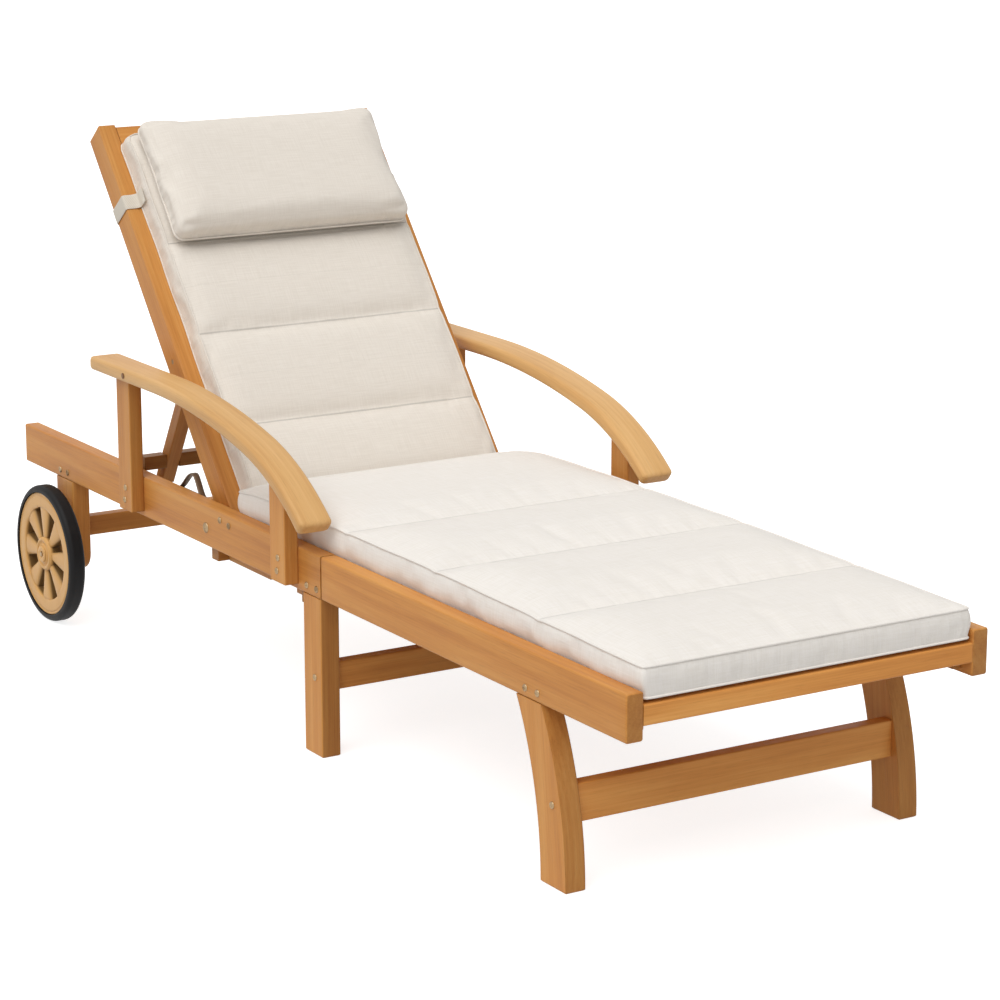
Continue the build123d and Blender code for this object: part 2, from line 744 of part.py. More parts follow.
# Wheels: a disc with open windows between eight spokes, a tyre and a cap on the hub
spoke_reach = rim_inner + overrun
for side, sign in sides.items():
    with BuildPart() as wheel:
        with BuildSketch(side_plane(sign * (wheel_centre_y + disc_width / 2))):
            with Locations((rear_leg_x, wheel_radius)):
                Circle(disc_radius)
        extrude(amount=sign * disc_width)
        fillet(wheel.edges().filter_by(GeomType.CIRCLE), disc_edge)
        with BuildSketch(side_plane(sign * (wheel_centre_y + disc_width / 2))) as windows:
            with Locations((rear_leg_x, wheel_radius)):
                Circle(rim_inner)
                Circle(hub_radius, mode=Mode.SUBTRACT)
            with Locations((rear_leg_x, wheel_radius)):
                with PolarLocations(0, spoke_count):
                    Polygon((0, 0), (spoke_reach, -spoke_reach * spoke_taper_share / 2),
                            (spoke_reach, spoke_reach * spoke_taper_share / 2),
                            align=None, mode=Mode.SUBTRACT)
            fillet(windows.vertices(), window_corner)
        extrude(amount=sign * disc_width, mode=Mode.SUBTRACT)
        with BuildSketch(side_plane(sign * hub_outer_y)):
            with Locations((rear_leg_x, wheel_radius)):
                Circle(hub_radius)
        extrude(amount=sign * (hub_outer_y - hub_inner_y))
        for depth, radius in [(hub_outer_y - hub_inner_y, axle_radius + running_gap),
                              (head_recess, axle_head_radius + axle_head_play)]:
            with BuildSketch(side_plane(sign * hub_outer_y)):
                with Locations((rear_leg_x, wheel_radius)):
                    Circle(radius)
            extrude(amount=sign * depth, mode=Mode.SUBTRACT)
    save(wheel.part, f"wheel_{side}")

    with BuildPart() as tyre:
        with BuildSketch(side_plane(sign * wheel_outer)):
            with Locations((rear_leg_x, wheel_radius)):
                Circle(wheel_radius)
                Circle(tyre_inner, mode=Mode.SUBTRACT)
        extrude(amount=sign * tyre_width)
        tread_edges = tyre.edges().filter_by(GeomType.CIRCLE).group_by(SortBy.RADIUS)[-1]
        fillet(tread_edges, tyre_round)
    save(tyre.part, f"tyre_{side}")

    with BuildPart() as hub_cap:
        with BuildSketch(side_plane(sign * hub_outer_y)):
            with Locations((rear_leg_x, wheel_radius)):
                Circle(cap_radius)
                Circle(cap_bore, mode=Mode.SUBTRACT)
        extrude(amount=-sign * cap_height)
    save(hub_cap.part, f"hub_cap_{side}")

    # Axle bolt with a collar against the leg, a head sunk in the hub, a tip that shows
    # through the cap, and a nut inside the leg
    with BuildPart() as axle:
        head_y = hub_outer_y - contact_gap - axle_head_height
        nut_y = leg_inner - axle_nut_height
        layers = [(hub_outer_y + axle_tip_height, head_y, axle_tip_radius),
                  (head_y + axle_head_height, head_y, axle_head_radius),
                  (head_y, nut_y, axle_radius),
                  (rail_outer + axle_collar_length, rail_outer, axle_collar_radius),
                  (leg_inner, nut_y, axle_head_radius)]
        for y_outer, y_inner, radius in layers:
            with BuildSketch(side_plane(sign * y_outer)):
                with Locations((rear_leg_x, wheel_radius)):
                    Circle(radius)
            extrude(amount=sign * (y_outer - y_inner))
    save(axle.part, f"axle_{side}")


# Bolts through the rails and legs, and screws in the arm posts: pan heads on a shank
bolt_groups = {"frame_bolts": [(ledger_screw_places, rail_outer, ledger_screw_depth)],
               "post_screws": []}
for leg in leg_places:
    bolt_groups["frame_bolts"].append((leg_bolt_places(leg), rail_outer, leg_bolt_depth))
    bolt_groups["frame_bolts"].append(([stretcher_places[leg][:2]], rail_outer,
                                       leg_thickness + stretcher_bolt_depth))
for post in post_places:
    bolt_groups["post_screws"].append((post_screw_places(post), rail_outer + post_thickness,
                                       post_thickness + post_screw_depth))
for name, groups in bolt_groups.items():
    with BuildPart() as bolts:
        for places, face_y, depth in groups:
            for sign in sides.values():
                for y_outer, y_inner, radius in [
                        (face_y + bolt_head_height, face_y, bolt_head_radius),
                        (face_y, face_y - depth, bolt_radius)]:
                    with BuildSketch(side_plane(sign * y_outer)):
                        with Locations(places):
                            Circle(radius)
                    extrude(amount=sign * (y_outer - y_inner))
    save(bolts.part, name)

with BuildPart() as arm_plugs:
    for sign in sides.values():
        with BuildSketch(side_plane(sign * arm_outer)):
            with Locations((arm_plug_x, arm_underside + arm_thickness / 2)):
                Circle(arm_plug_radius)
        extrude(amount=-sign * arm_plug_height)
save(arm_plugs.part, "arm_plugs")

# Runners under the rails, with a lip that carries the tray's sides
runner_faces = {
    "rear": (tray_rear_x - runner_clearance, -1),
    "front": (tray_front_x + runner_clearance, 1),
}
for name, (face_x, direction) in runner_faces.items():
    with BuildPart() as runner:
        with Locations((face_x + direction * runner_width / 2, 0,
                        (runner_bottom + rail_bottom) / 2)):
            Box(runner_width, 2 * runner_reach, rail_bottom - runner_bottom)
        lip_start = contact_gap - tray_board_inner
        with Locations((face_x - direction * runner_lip / 2, (lip_start + runner_reach) / 2,
                        (runner_bottom + runner_lip_top) / 2)):
            Box(runner_lip, runner_reach - lip_start, runner_lip_height)
    save(runner.part, f"tray_runner_{name}")

# Tray: a front board with a finger notch, two sides, a back board and slats on top
with BuildPart() as tray_front_board:
    board_bottom = tray_top - tray_board_height
    with BuildSketch(side_plane(-tray_board_inner)):
        with Locations(((tray_rear_x + tray_front_x) / 2, (tray_top + board_bottom) / 2)):
            Rectangle(tray_front_x - tray_rear_x, tray_board_height)
        with Locations((tray_pull_x, board_bottom)):
            RectangleRounded(tray_pull_width, 2 * tray_pull_depth, tray_pull_corner,
                             mode=Mode.SUBTRACT)
    extrude(amount=tray_board)
    fillet(tray_front_board.edges().filter_by(Axis.X).group_by(Axis.Z)[-1], rail_edge / 2)
save(tray_front_board.part, "tray_front_board")

tray_side_bottom = runner_lip_top + contact_gap
tray_slat_bottom = tray_side_bottom + tray_side_height
tray_sides = {
    "rear": (tray_rear_x - runner_clearance + tray_side_play, 1),
    "front": (tray_front_x + runner_clearance - tray_side_play, -1),
}
for name, (face_x, direction) in tray_sides.items():
    with BuildPart() as tray_side:
        with Locations((face_x + direction * tray_side_width / 2,
                        (tray_back_y - tray_board_inner) / 2,
                        (tray_side_bottom + tray_slat_bottom) / 2)):
            Box(tray_side_width, tray_back_y + tray_board_inner, tray_side_height)
    save(tray_side.part, f"tray_side_{name}")

with BuildPart() as tray_back_board:
    inner_length = (tray_sides["front"][0] - tray_sides["rear"][0]) - 2 * tray_side_width
    with Locations(((tray_sides["front"][0] + tray_sides["rear"][0]) / 2,
                    tray_back_y - tray_board / 2,
                    tray_slat_bottom - tray_side_height / 2)):
        Box(inner_length, tray_board, tray_side_height)
save(tray_back_board.part, "tray_back_board")

with BuildPart() as tray_slats:
    tray_depth = tray_back_y + tray_board_inner
    tray_slat_width = (tray_depth - tray_slat_gap * (tray_slat_count - 1)) / tray_slat_count
    slat_span = tray_front_x - tray_rear_x
    with Locations([((tray_rear_x + tray_front_x) / 2,
                     tray_slat_width / 2 - tray_board_inner
                     + (tray_slat_width + tray_slat_gap) * index,
                     (tray_slat_bottom + tray_top) / 2) for index in range(tray_slat_count)]):
        Box(slat_span, tray_slat_width, tray_top - tray_slat_bottom)
save(tray_slats.part, "tray_slats")


def pad_outline(half, base, edge, crown):
    # A cushion's cross-section: flat below, full sides and a crowned top
    with BuildLine() as outline:
        Line((-half, base), (half, base))
        ThreePointArc((half, base), (half + pad_bulge, base + edge / 2), (half, base + edge))
        ThreePointArc((half, base + edge), (0, base + edge + crown), (-half, base + edge))
        ThreePointArc((-half, base + edge), (-half - pad_bulge, base + edge / 2), (-half, base))
    make_face(outline.edges())


def pad_stations(start, end, seams, crown):
    # Places along a cushion with its crown there, and how far its corners are drawn in
    stations = [(start, crown * seam_crown_share, pad_corner_draw)]
    lines = [start] + seams + [end]
    for first, last in zip(lines, lines[1:]):
        for share, height_share in panel_stations_shares:
            place = first + share * (last - first)
            stations.append((place, crown * height_share, 0))
        corner = pad_corner_draw if last == end else 0
        stations.append((last, crown * seam_crown_share, corner))
    return stations


# Seat cushion, in panels between its seams, with its rear end leaning back
with BuildPart() as seat_cushion:
    stations = pad_stations(seat_pad_rear_x, seat_pad_foot_x, seat_seams_x, seat_pad_crown)
    for index, (x, crown, draw) in enumerate(stations):
        if index:
            plane = cross_section(x)
        else:
            lean = Vector(-seat_pad_lean, 0, seat_pad_edge).normalized()
            plane = Plane(origin=(x, 0, seat_surface), x_dir=(0, 1, 0),
                          z_dir=(lean.Z, 0, -lean.X))
        with BuildSketch(plane):
            pad_outline(seat_pad_half - draw, contact_gap, seat_pad_edge, crown)
    loft(ruled=True)
save(seat_cushion.part, "seat_cushion")

# Back cushion, in panels between its seams
with BuildPart() as back_cushion:
    for s, crown, draw in pad_stations(0, back_pad_top, back_seams_s, back_pad_crown):
        with BuildSketch(back_section(s)):
            pad_outline(back_pad_half - draw, stile_half_depth + contact_gap, back_pad_edge, crown)
    loft(ruled=True)
save(back_cushion.part, "back_cushion")

# Head pillow, thick at its lower end
with BuildPart() as head_pillow:
    pillow_base = stile_half_depth + contact_gap + back_pad_edge + back_pad_crown + pillow_gap
    for s, crown, draw in pad_stations(pillow_low, pillow_high, [], pillow_crown):
        share = (s - pillow_low) / (pillow_high - pillow_low)
        depth = pillow_low_depth + share * (pillow_high_depth - pillow_low_depth)
        with BuildSketch(back_section(s)):
            pad_outline(pillow_half - draw, pillow_base, depth, crown)
    loft(ruled=True)
save(head_pillow.part, "head_pillow")

# Straps of the back cushion round the stiles
with BuildPart() as cushion_straps:
    for sign in sides.values():
        with BuildSketch(back_section(strap_s - strap_width / 2)):
            front = stile_half_depth
            inner = sign * (back_pad_half + pad_bulge + contact_gap)
            outer = sign * (stile_outer + contact_gap / 2)
            tuck = sign * (stile_outer - strap_tuck)
            thick = sign * strap_thickness
            with BuildLine():
                Polyline((-inner, front + strap_rise), (-inner, front + contact_gap / 2),
                         (-outer, front + contact_gap / 2), (-outer, -front - contact_gap / 2),
                         (-tuck, -front - contact_gap / 2),
                         (-tuck, -front - contact_gap / 2 - strap_thickness),
                         (-outer - thick, -front - contact_gap / 2 - strap_thickness),
                         (-outer - thick, front + contact_gap / 2 + strap_thickness),
                         (-inner - thick, front + contact_gap / 2 + strap_thickness),
                         (-inner - thick, front + strap_rise), close=True)
            make_face()
        extrude(amount=strap_width)
save(cushion_straps.part, "cushion_straps")
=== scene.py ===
import bpy
import math
import numpy as np
from mathutils import Matrix


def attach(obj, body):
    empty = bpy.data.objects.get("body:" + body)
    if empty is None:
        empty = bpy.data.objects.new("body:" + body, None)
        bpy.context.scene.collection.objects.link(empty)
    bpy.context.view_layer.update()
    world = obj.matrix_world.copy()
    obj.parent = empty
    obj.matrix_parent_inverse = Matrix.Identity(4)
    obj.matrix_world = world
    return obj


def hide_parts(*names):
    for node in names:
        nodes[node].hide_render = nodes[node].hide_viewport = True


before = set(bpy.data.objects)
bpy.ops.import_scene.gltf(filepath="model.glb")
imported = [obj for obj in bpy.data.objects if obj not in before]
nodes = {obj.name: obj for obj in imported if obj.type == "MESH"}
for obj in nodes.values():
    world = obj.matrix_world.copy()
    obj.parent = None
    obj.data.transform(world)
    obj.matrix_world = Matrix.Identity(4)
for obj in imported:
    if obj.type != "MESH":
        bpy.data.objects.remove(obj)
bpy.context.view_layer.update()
print("frame loaded:", len(nodes), "nodes")


# ---- places shared by several pieces, in metres

alongX, alongY, alongZ = np.eye(3)
slope = math.radians(50.5)
upBack = np.array([-math.cos(slope), 0.0, math.sin(slope)])
outBack = np.array([math.sin(slope), 0.0, math.cos(slope)])
pivot = np.array([-0.252, 0.0, 0.2915])
upStrut = np.array([math.cos(math.radians(59.6)), 0.0, math.sin(math.radians(59.6))])
sides = {"left": 1.0, "right": -1.0}


def paint(red, green, blue):
    # a colour as a screen shows it, 0 to 255, turned into linear values
    srgb = np.array([red, green, blue]) / 255.0
    linear = np.where(srgb <= 0.04045, srgb / 12.92, ((srgb + 0.055) / 1.055) ** 2.4)
    return (*linear.tolist(), 1.0)


# ---- shader arithmetic: a socket that can be added, multiplied and compared

class Signal:
    def __init__(self, finish, socket):
        self.finish = finish
        self.socket = socket

    def maths(self, operation, *values):
        return self.finish.node("ShaderNodeMath", {"operation": operation},
                                dict(enumerate(values)))

    def __add__(self, other):
        return self.maths("ADD", self, other)

    def __sub__(self, other):
        return self.maths("SUBTRACT", self, other)

    def __rsub__(self, other):
        return self.maths("SUBTRACT", other, self)

    def __mul__(self, other):
        return self.maths("MULTIPLY", self, other)

    def __truediv__(self, other):
        return self.maths("DIVIDE", self, other)

    def __pow__(self, other):
        return self.maths("POWER", self, other)

    __radd__ = __add__
    __rmul__ = __mul__

    def sine(self):
        return self.maths("SINE", self)

    def floor(self):
        return self.maths("FLOOR", self)

    def size(self):
        return self.maths("ABSOLUTE", self)

    def fromTo(self, low, high):
        # 0 below low, 1 above high, smooth between them
        return self.finish.node("ShaderNodeMapRange", {"interpolation_type": "SMOOTHSTEP"},
                                {"Value": self, "From Min": low, "From Max": high})

    def along(self, direction):
        return self.finish.node("ShaderNodeVectorMath", {"operation": "DOT_PRODUCT"},
                                {0: self, 1: tuple(direction)}, "Value")


class Finish:
    # builds the nodes of a material, or of the world
    def __init__(self, owner, output="ShaderNodeOutputMaterial"):
        self.owner = owner
        owner.use_nodes = True
        self.tree = owner.node_tree
        self.tree.nodes.clear()
        self.output = self.tree.nodes.new(output)

    def node(self, kind, settings=None, values=None, output=0):
        made = self.tree.nodes.new(kind)
        for key, value in (settings or {}).items():
            if key == "stops":
                while len(made.color_ramp.elements) < len(value):
                    made.color_ramp.elements.new(0.5)
                for element, (place, colour) in zip(made.color_ramp.elements, value):
                    element.position = place
                    element.color = colour
            else:
                setattr(made, key, value)
        for key, value in (values or {}).items():
            if isinstance(value, Signal):
                self.tree.links.new(value.socket, made.inputs[key])
            else:
                made.inputs[key].default_value = value
        return Signal(self, made.outputs[output])

    def triple(self, x, y, z):
        return self.node("ShaderNodeCombineXYZ", None, {"X": x, "Y": y, "Z": z})

    def noise(self, vector, scale=1.0, detail=2.0, roughness=0.5):
        return self.node("ShaderNodeTexNoise", None,
                         {"Vector": vector, "Scale": scale, "Detail": detail, "Roughness": roughness})

    def stretched(self, places, scales, detail, roughness=0.5):
        # noise over three coordinates, each multiplied by its own scale
        scaled = [place * scale for place, scale in zip(places, scales)]
        return self.noise(self.triple(*scaled), 1.0, detail, roughness)

    def blendColours(self, share, first, second):
        return self.node("ShaderNodeMix", {"data_type": "RGBA"}, {0: share, 6: first, 7: second}, 2)

    def shade(self, colour, strength):
        # a colour made darker or lighter by a number
        return self.node("ShaderNodeVectorMath", {"operation": "SCALE"}, {0: colour, "Scale": strength})

    def relief(self, height, distance, strength, eased=0.0):
        # bumps from a height; eased rounds the sharp edges of a board by that radius
        values = {"Height": height, "Distance": distance, "Strength": strength}
        if eased:
            values["Normal"] = self.node("ShaderNodeBevel", {"samples": 4}, {"Radius": eased})
        return self.node("ShaderNodeBump", None, values, "Normal")

    def shown(self, kind, **values):
        shader = self.node(kind, None, {key.replace("_", " "): value for key, value in values.items()})
        self.tree.links.new(shader.socket, self.output.inputs["Surface"])
        return self.owner

    def surface(self, **values):
        return self.shown("ShaderNodeBsdfPrincipled", **values)

    def seenDirectly(self):
        # 1 for the camera, mirrors and glass, 0 for the light that falls on the object
        rays = [self.node("ShaderNodeLightPath", output=kind)
                for kind in ("Is Camera Ray", "Is Glossy Ray", "Is Transmission Ray")]
        return rays[0].maths("MINIMUM", rays[0] + rays[1] + rays[2], 1.0)


# ---- wood: growth rings round a pith that lies off the board, long streaks, fibres and pores

woodLook = {
    "light": paint(221, 162, 90), "middle": paint(206, 140, 69), "dark": paint(179, 110, 47),
    "ringWidth": 0.0085, "ring": 0.06, "streak": 0.52, "fibre": 0.26, "pore": 0.10, "gloss": 0.46,
    "eased": 0.003, "endGrain": 0.26, "inside": None,
}
armLook = dict(woodLook, light=paint(226, 183, 126), middle=paint(215, 168, 108),
               dark=paint(195, 141, 82))
# inside: painted shade in the wheel's openings; the plane between a wheel's faces, where the painted
# shade ends and full colour begins, how dark
wheelLook = dict(woodLook, light=paint(228, 182, 116), middle=paint(219, 169, 102),
                 dark=paint(204, 150, 84), ring=0.03, streak=0.30, fibre=0.16, pore=0.04,
                 gloss=0.38, endGrain=0.0, inside=(0.344, 0.0055, 0.0115, 0.28))
# scales per metre along the grain, across and through a board, and places in metres
woodPattern = {
    "seedTurn": 0.6180339, "boardShift": (5.3, 0.31, 0.13), "steep": 0.7,
    "sway": (1.2, 6.0, 6.0), "swayWidth": 0.045, "swayDepth": 0.03,
    "pithSquash": 0.55, "pithLean": 0.008, "pithDepth": 0.08, "ringByStreak": 1.4,
    "fibre": (5.0, 330.0, 330.0), "streak": (2.2, 27.0, 27.0), "pore": (30.0, 900.0, 900.0),
    "poreEdges": (0.58, 0.72), "toneStops": (0.12, 0.50, 0.88), "boardTone": 0.10,
    "endFacing": (0.80, 0.95), "cheekFacing": (0.6, 0.9), "roughSpread": 0.20, "shine": 0.25,
    "fibreHeight": 0.5, "poreDepth": 0.8, "relief": (0.0003, 0.30),
}


def woodFinish(name, grain, seed, boards=None, tone=1.0, look=woodLook, straight=False, cheek=0.0):
    # grain is the direction of the fibres; boards = (direction, first, pitch) tells boards apart;
    # straight reads the piece's own unbent coordinates, so that the grain follows a bend;
    # cheek is painted shade: the share by which the faces towards the foot end are darker
    finish, pattern = Finish(bpy.data.materials.new(name)), woodPattern
    grain = np.array(grain, float) / np.linalg.norm(grain)
    across = np.cross(grain, alongY if abs(grain[1]) < pattern["steep"] else alongZ)
    across /= np.linalg.norm(across)
    through = np.cross(grain, across)
    if straight:
        place = finish.node("ShaderNodeAttribute", {"attribute_name": "straight"}, output="Vector")
    else:
        place = finish.node("ShaderNodeTexCoord", output="Object")
    shift = (seed * pattern["seedTurn"]) % 1.0
    if boards:
        direction, first, pitch = boards
        number = ((place.along(direction) - first) / pitch).floor() + float(seed)
        shift = finish.node("ShaderNodeTexWhiteNoise", {"noise_dimensions": "1D"}, {"W": number})
    places = [place.along(way) + shift * far
              for way, far in zip((grain, across, through), pattern["boardShift"])]
    length, width, depth = places
    # rings: the sine of the distance from a pith that wanders, squashed across the board.
    # Noise lies evenly about a half
    sway = finish.stretched(places, pattern["sway"], 3.0) - 0.5
    fromPithWidth = (width * pattern["pithSquash"] + length * pattern["pithLean"]
                     + sway * pattern["swayWidth"])
    fromPithDepth = depth + pattern["pithDepth"] + sway * pattern["swayDepth"]
    reach = (fromPithWidth * fromPithWidth + fromPithDepth * fromPithDepth) ** 0.5
    rings = (reach * (2 * math.pi / look["ringWidth"])).sine()
    fibre = finish.stretched(places, pattern["fibre"], 3.0, 0.6)
    streak = finish.stretched(places, pattern["streak"], 4.0)
    pores = finish.stretched(places, pattern["pore"], 1.0).fromTo(*pattern["poreEdges"])
    blend = (0.5 + rings * look["ring"] * (streak * pattern["ringByStreak"])
             + (fibre - 0.5) * (2 * look["fibre"]) + (streak - 0.5) * (2 * look["streak"]))
    stops = list(zip(pattern["toneStops"], (look["dark"], look["middle"], look["light"])))
    colour = finish.node("ShaderNodeValToRGB", {"stops": stops}, {"Fac": blend})
    spread = pattern["boardTone"]
    # tone is the piece's own tone, and on the front stretcher and the foot rail painted light
    strength = (1.0 - pores * look["pore"]) * ((shift * spread + (1.0 - spread / 2)) * tone)
    outward = finish.node("ShaderNodeTexCoord", output="Normal")
    if look["endGrain"] and not straight:
        cutEnd = outward.along(grain).size().fromTo(*pattern["endFacing"])
        strength = strength * (1.0 - cutEnd * look["endGrain"])
    # painted shade: the faces towards the foot end are made darker
    if cheek:
        strength = strength * (1.0 - outward.along(alongX).fromTo(*pattern["cheekFacing"]) * cheek)
    if look["inside"]:
        # painted shade of the openings: a wheel's wood is darker between its two faces, by the distance
        # from the plane there
        plane, low, high, dark = look["inside"]
        acrossWheel = finish.node("ShaderNodeTexCoord", output="Object").along(alongY).size()
        fromPlane = (acrossWheel - plane).size()
        strength = strength * (fromPlane.fromTo(low, high) * (1.0 - dark) + dark)
    height = fibre * pattern["fibreHeight"] - pores * pattern["poreDepth"]
    return finish.surface(
        Base_Color=finish.shade(colour, strength), Specular_IOR_Level=pattern["shine"],
        Roughness=fibre * pattern["roughSpread"] + (look["gloss"] - pattern["roughSpread"] / 2),
        Normal=finish.relief(height, *pattern["relief"], look["eased"]))


# ---- linen: warp and weft with slubs, on the piece's own weave coordinates

linenLook = {"yarn": paint(245, 240, 234), "shadow": paint(237, 231, 222), "crease": 0.80,
             "thread": 0.0013, "gather": 1.0}
# the back cushion and the pillow: the seat's linen made darker, painted shade for the lesser light on
# the upright back, with a deeper painted seam shade
shadedBackLook = dict(linenLook, yarn=paint(238, 230, 219), shadow=paint(229, 220, 208), crease=0.72)
pillowLook = dict(shadedBackLook, gather=3.2)
# scales per metre along the warp and the weft; the third number keeps each noise apart
linenPattern = {
    "slubWarp": (520.0, 22.0, 0.0), "slubWeft": (22.0, 520.0, 3.0), "mottle": (7.0, 7.0, 7.0),
    "wander": (30.0, 0.0, 1.0), "slubShare": 0.8, "mottleShare": 0.2, "toneEdges": (0.45, 1.15),
    "line": (0.0004, 0.0022), "nearLine": 0.034, "gathers": 330.0, "gatherWander": 9.0,
    "threadHeight": 0.5, "lineDepth": 1.2, "roughness": 0.92, "sheen": 0.10,
    "relief": (0.0006, 0.45),
}


def linenFinish(name, look=linenLook):
    finish, pattern = Finish(bpy.data.materials.new(name)), linenPattern
    weave = finish.node("ShaderNodeUVMap", {"uv_map": "weave"})
    seam = finish.node("ShaderNodeUVMap", {"uv_map": "seam"})
    run, fill = weave.along(alongX), weave.along(alongY)
    besideSeam, fromSeam = seam.along(alongX), seam.along(alongY).size()
    turns = math.pi / look["thread"]
    cloth = (run * turns).sine().size() + (fill * turns).sine().size()
    slubWarp = finish.stretched((run, fill, 1.0), pattern["slubWarp"], 2.0)
    slubWeft = finish.stretched((run, fill, 1.0), pattern["slubWeft"], 2.0)
    mottle = finish.stretched((run, fill, 1.0), pattern["mottle"], 3.0)
    share = (slubWarp + slubWeft) * pattern["slubShare"] + (mottle - 0.5) * pattern["mottleShare"]
    colour = finish.blendColours(share.fromTo(*pattern["toneEdges"]), look["shadow"], look["yarn"])
    # the sewn line is darker, painted shade of its crease together with the thread's own colour, and
    # small gathers run away from it on both sides
    line = 1.0 - fromSeam.fromTo(*pattern["line"])
    near = 1.0 - fromSeam.fromTo(0.0, pattern["nearLine"])
    wander = finish.stretched((besideSeam, 1.0, 1.0), pattern["wander"], 2.0)
    waves = (besideSeam * pattern["gathers"] + wander * pattern["gatherWander"]).sine()
    gather = waves * near * near
    height = (cloth * pattern["threadHeight"] + slubWarp + slubWeft + gather * look["gather"]
              - line * pattern["lineDepth"])
    return finish.surface(Base_Color=finish.shade(colour, 1.0 - line * (1.0 - look["crease"])),
                          Roughness=pattern["roughness"], Sheen_Weight=pattern["sheen"],
                          Normal=finish.relief(height, *pattern["relief"]))


webbingLook = {"dark": paint(206, 196, 180), "light": paint(230, 223, 210),
               "slant": (0.70, 0.70, 0.0), "ribs": 2400.0, "edges": 3400.0,
               "ribShare": 0.5, "edgeShare": 0.3, "roughness": 0.9, "sheen": 0.1,
               "relief": (0.0004, 0.4)}


def webbingFinish(name, look=webbingLook):
    # slanting ribs and lengthwise threads, each a sine brought to between 0 and 1
    finish = Finish(bpy.data.materials.new(name))
    weave = finish.node("ShaderNodeUVMap", {"uv_map": "weave"})
    rib = (weave.along(look["slant"]) * look["ribs"]).sine() * 0.5 + 0.5
    edge = (weave.along(alongY) * look["edges"]).sine() * 0.5 + 0.5
    share = rib * look["ribShare"] + edge * look["edgeShare"]
    return finish.surface(Base_Color=finish.blendColours(share, look["dark"], look["light"]),
                          Roughness=look["roughness"], Sheen_Weight=look["sheen"],
                          Normal=finish.relief(rib + edge, *look["relief"]))


# ---- metals and rubber

metalPattern = {"wear": 260.0, "spots": 39.0, "spotEdges": (0.50, 0.68), "spotShare": 0.6,
                "wearShare": 0.3, "wearRough": 0.25, "spotRough": 0.12, "relief": (0.0001, 0.3)}
rubberLook = {"dark": paint(13, 12, 13), "dusty": paint(36, 34, 33), "grain": 900.0,
              "dust": 34.0, "dustEdges": (0.46, 0.80), "dustShare": 0.35, "grainRough": 0.16,
              "dustRough": 0.12, "roughness": 0.48, "shine": 0.22, "relief": (0.0002, 0.4)}


def metalFinish(name, bright, dull, roughness, metallic=1.0):
    # duller and rougher in spots, with fine wear all over
    finish, pattern = Finish(bpy.data.materials.new(name)), metalPattern
    place = finish.node("ShaderNodeTexCoord", output="Object")
    wear = finish.noise(place, pattern["wear"], 4.0, 0.6)
    spots = finish.noise(place, pattern["spots"], 2.0).fromTo(*pattern["spotEdges"])
    share = spots * pattern["spotShare"] + wear * pattern["wearShare"]
    rough = wear * pattern["wearRough"] + spots * pattern["spotRough"] + roughness
    return finish.surface(Base_Color=finish.blendColours(share, bright, dull), Metallic=metallic,
                          Roughness=rough, Normal=finish.relief(wear, *pattern["relief"]))


def rubberFinish(name, look=rubberLook):
    # fine grain, and dust that makes it paler and rougher in places
    finish = Finish(bpy.data.materials.new(name))
    place = finish.node("ShaderNodeTexCoord", output="Object")
    grain = finish.noise(place, look["grain"], 3.0)
    dust = finish.noise(place, look["dust"], 4.0).fromTo(*look["dustEdges"])
    colour = finish.blendColours(dust * look["dustShare"], look["dark"], look["dusty"])
    rough = grain * look["grainRough"] + dust * look["dustRough"] + look["roughness"]
    return finish.surface(Base_Color=colour, Roughness=rough, Specular_IOR_Level=look["shine"],
                          Normal=finish.relief(grain, *look["relief"]))


# ---- which finish each CAD piece has: direction of the grain, boards in one node, and the piece's tone, which on the front stretcher and the foot rail is raised as painted light

# rows of boards in one node: the direction they follow each other in, the first one, the pitch
boardRows = {"seat": (alongX, -0.1905, 0.09909), "back": (upBack, 0.3975, 0.10267),
             "tray": (alongY, -0.264, 0.0894)}
woodPieces = {
    "rear_rail": (alongX, None, 0.97), "front_rail": (alongX, None, 0.97),
    "rear_leg": (alongZ, None, 0.97), "mid_leg": (alongZ, None, 0.97),
    "front_leg": ((-0.12, 0.0, 1.0), None, 1.0),
    "rear_stretcher": (alongY, None, 0.92), "mid_stretcher": (alongY, None, 1.0),
    # painted light: the front stretcher and the foot rail are made lighter, as if lit from the front
    "front_stretcher": (alongY, None, 1.18), "foot_rail": (alongY, None, 1.16),
    "seat_ledger": (alongX, None, 0.95), "seat_slats": (alongY, boardRows["seat"], 0.97),
    "arm_post_rear": (alongZ, None, 0.97), "arm_post_front": (alongZ, None, 1.0),
    "arm_plugs": (alongX, None, 0.35),
    "hinge_packer": (alongX, None, 0.9), "prop_rack": (alongX, None, 0.75),
    "back_stile": (upBack, None, 1.0), "back_top_rail": (alongY, None, 1.0),
    "back_slats": (alongY, boardRows["back"], 0.97),
    "prop_strut": (upStrut, None, 0.85), "prop_bar": (alongY, None, 0.52),
    "tray_front_board": (alongX, None, 0.85), "tray_back_board": (alongX, None, 0.9),
    "tray_side": (alongY, None, 0.9), "tray_slats": (alongX, boardRows["tray"], 0.9),
    "tray_runner": (alongY, None, 0.85),
}
# painted shade on the faces towards the foot end, the share for each leg and post
footShades = {"mid_leg": 0.28, "front_leg": 0.20, "arm_post_rear": 0.14, "arm_post_front": 0.14}
zinc = metalFinish("zincPlate", paint(176, 152, 118), paint(120, 94, 64), 0.30)
darkSteel = metalFinish("darkSteel", paint(124, 106, 88), paint(84, 70, 56), 0.40, 0.7)
plainPieces = {"prop_pins": zinc, "axle": zinc, "tyre": rubberFinish("tyreRubber")}


def dress(node, material):
    node.data.materials.clear()
    node.data.materials.append(material)


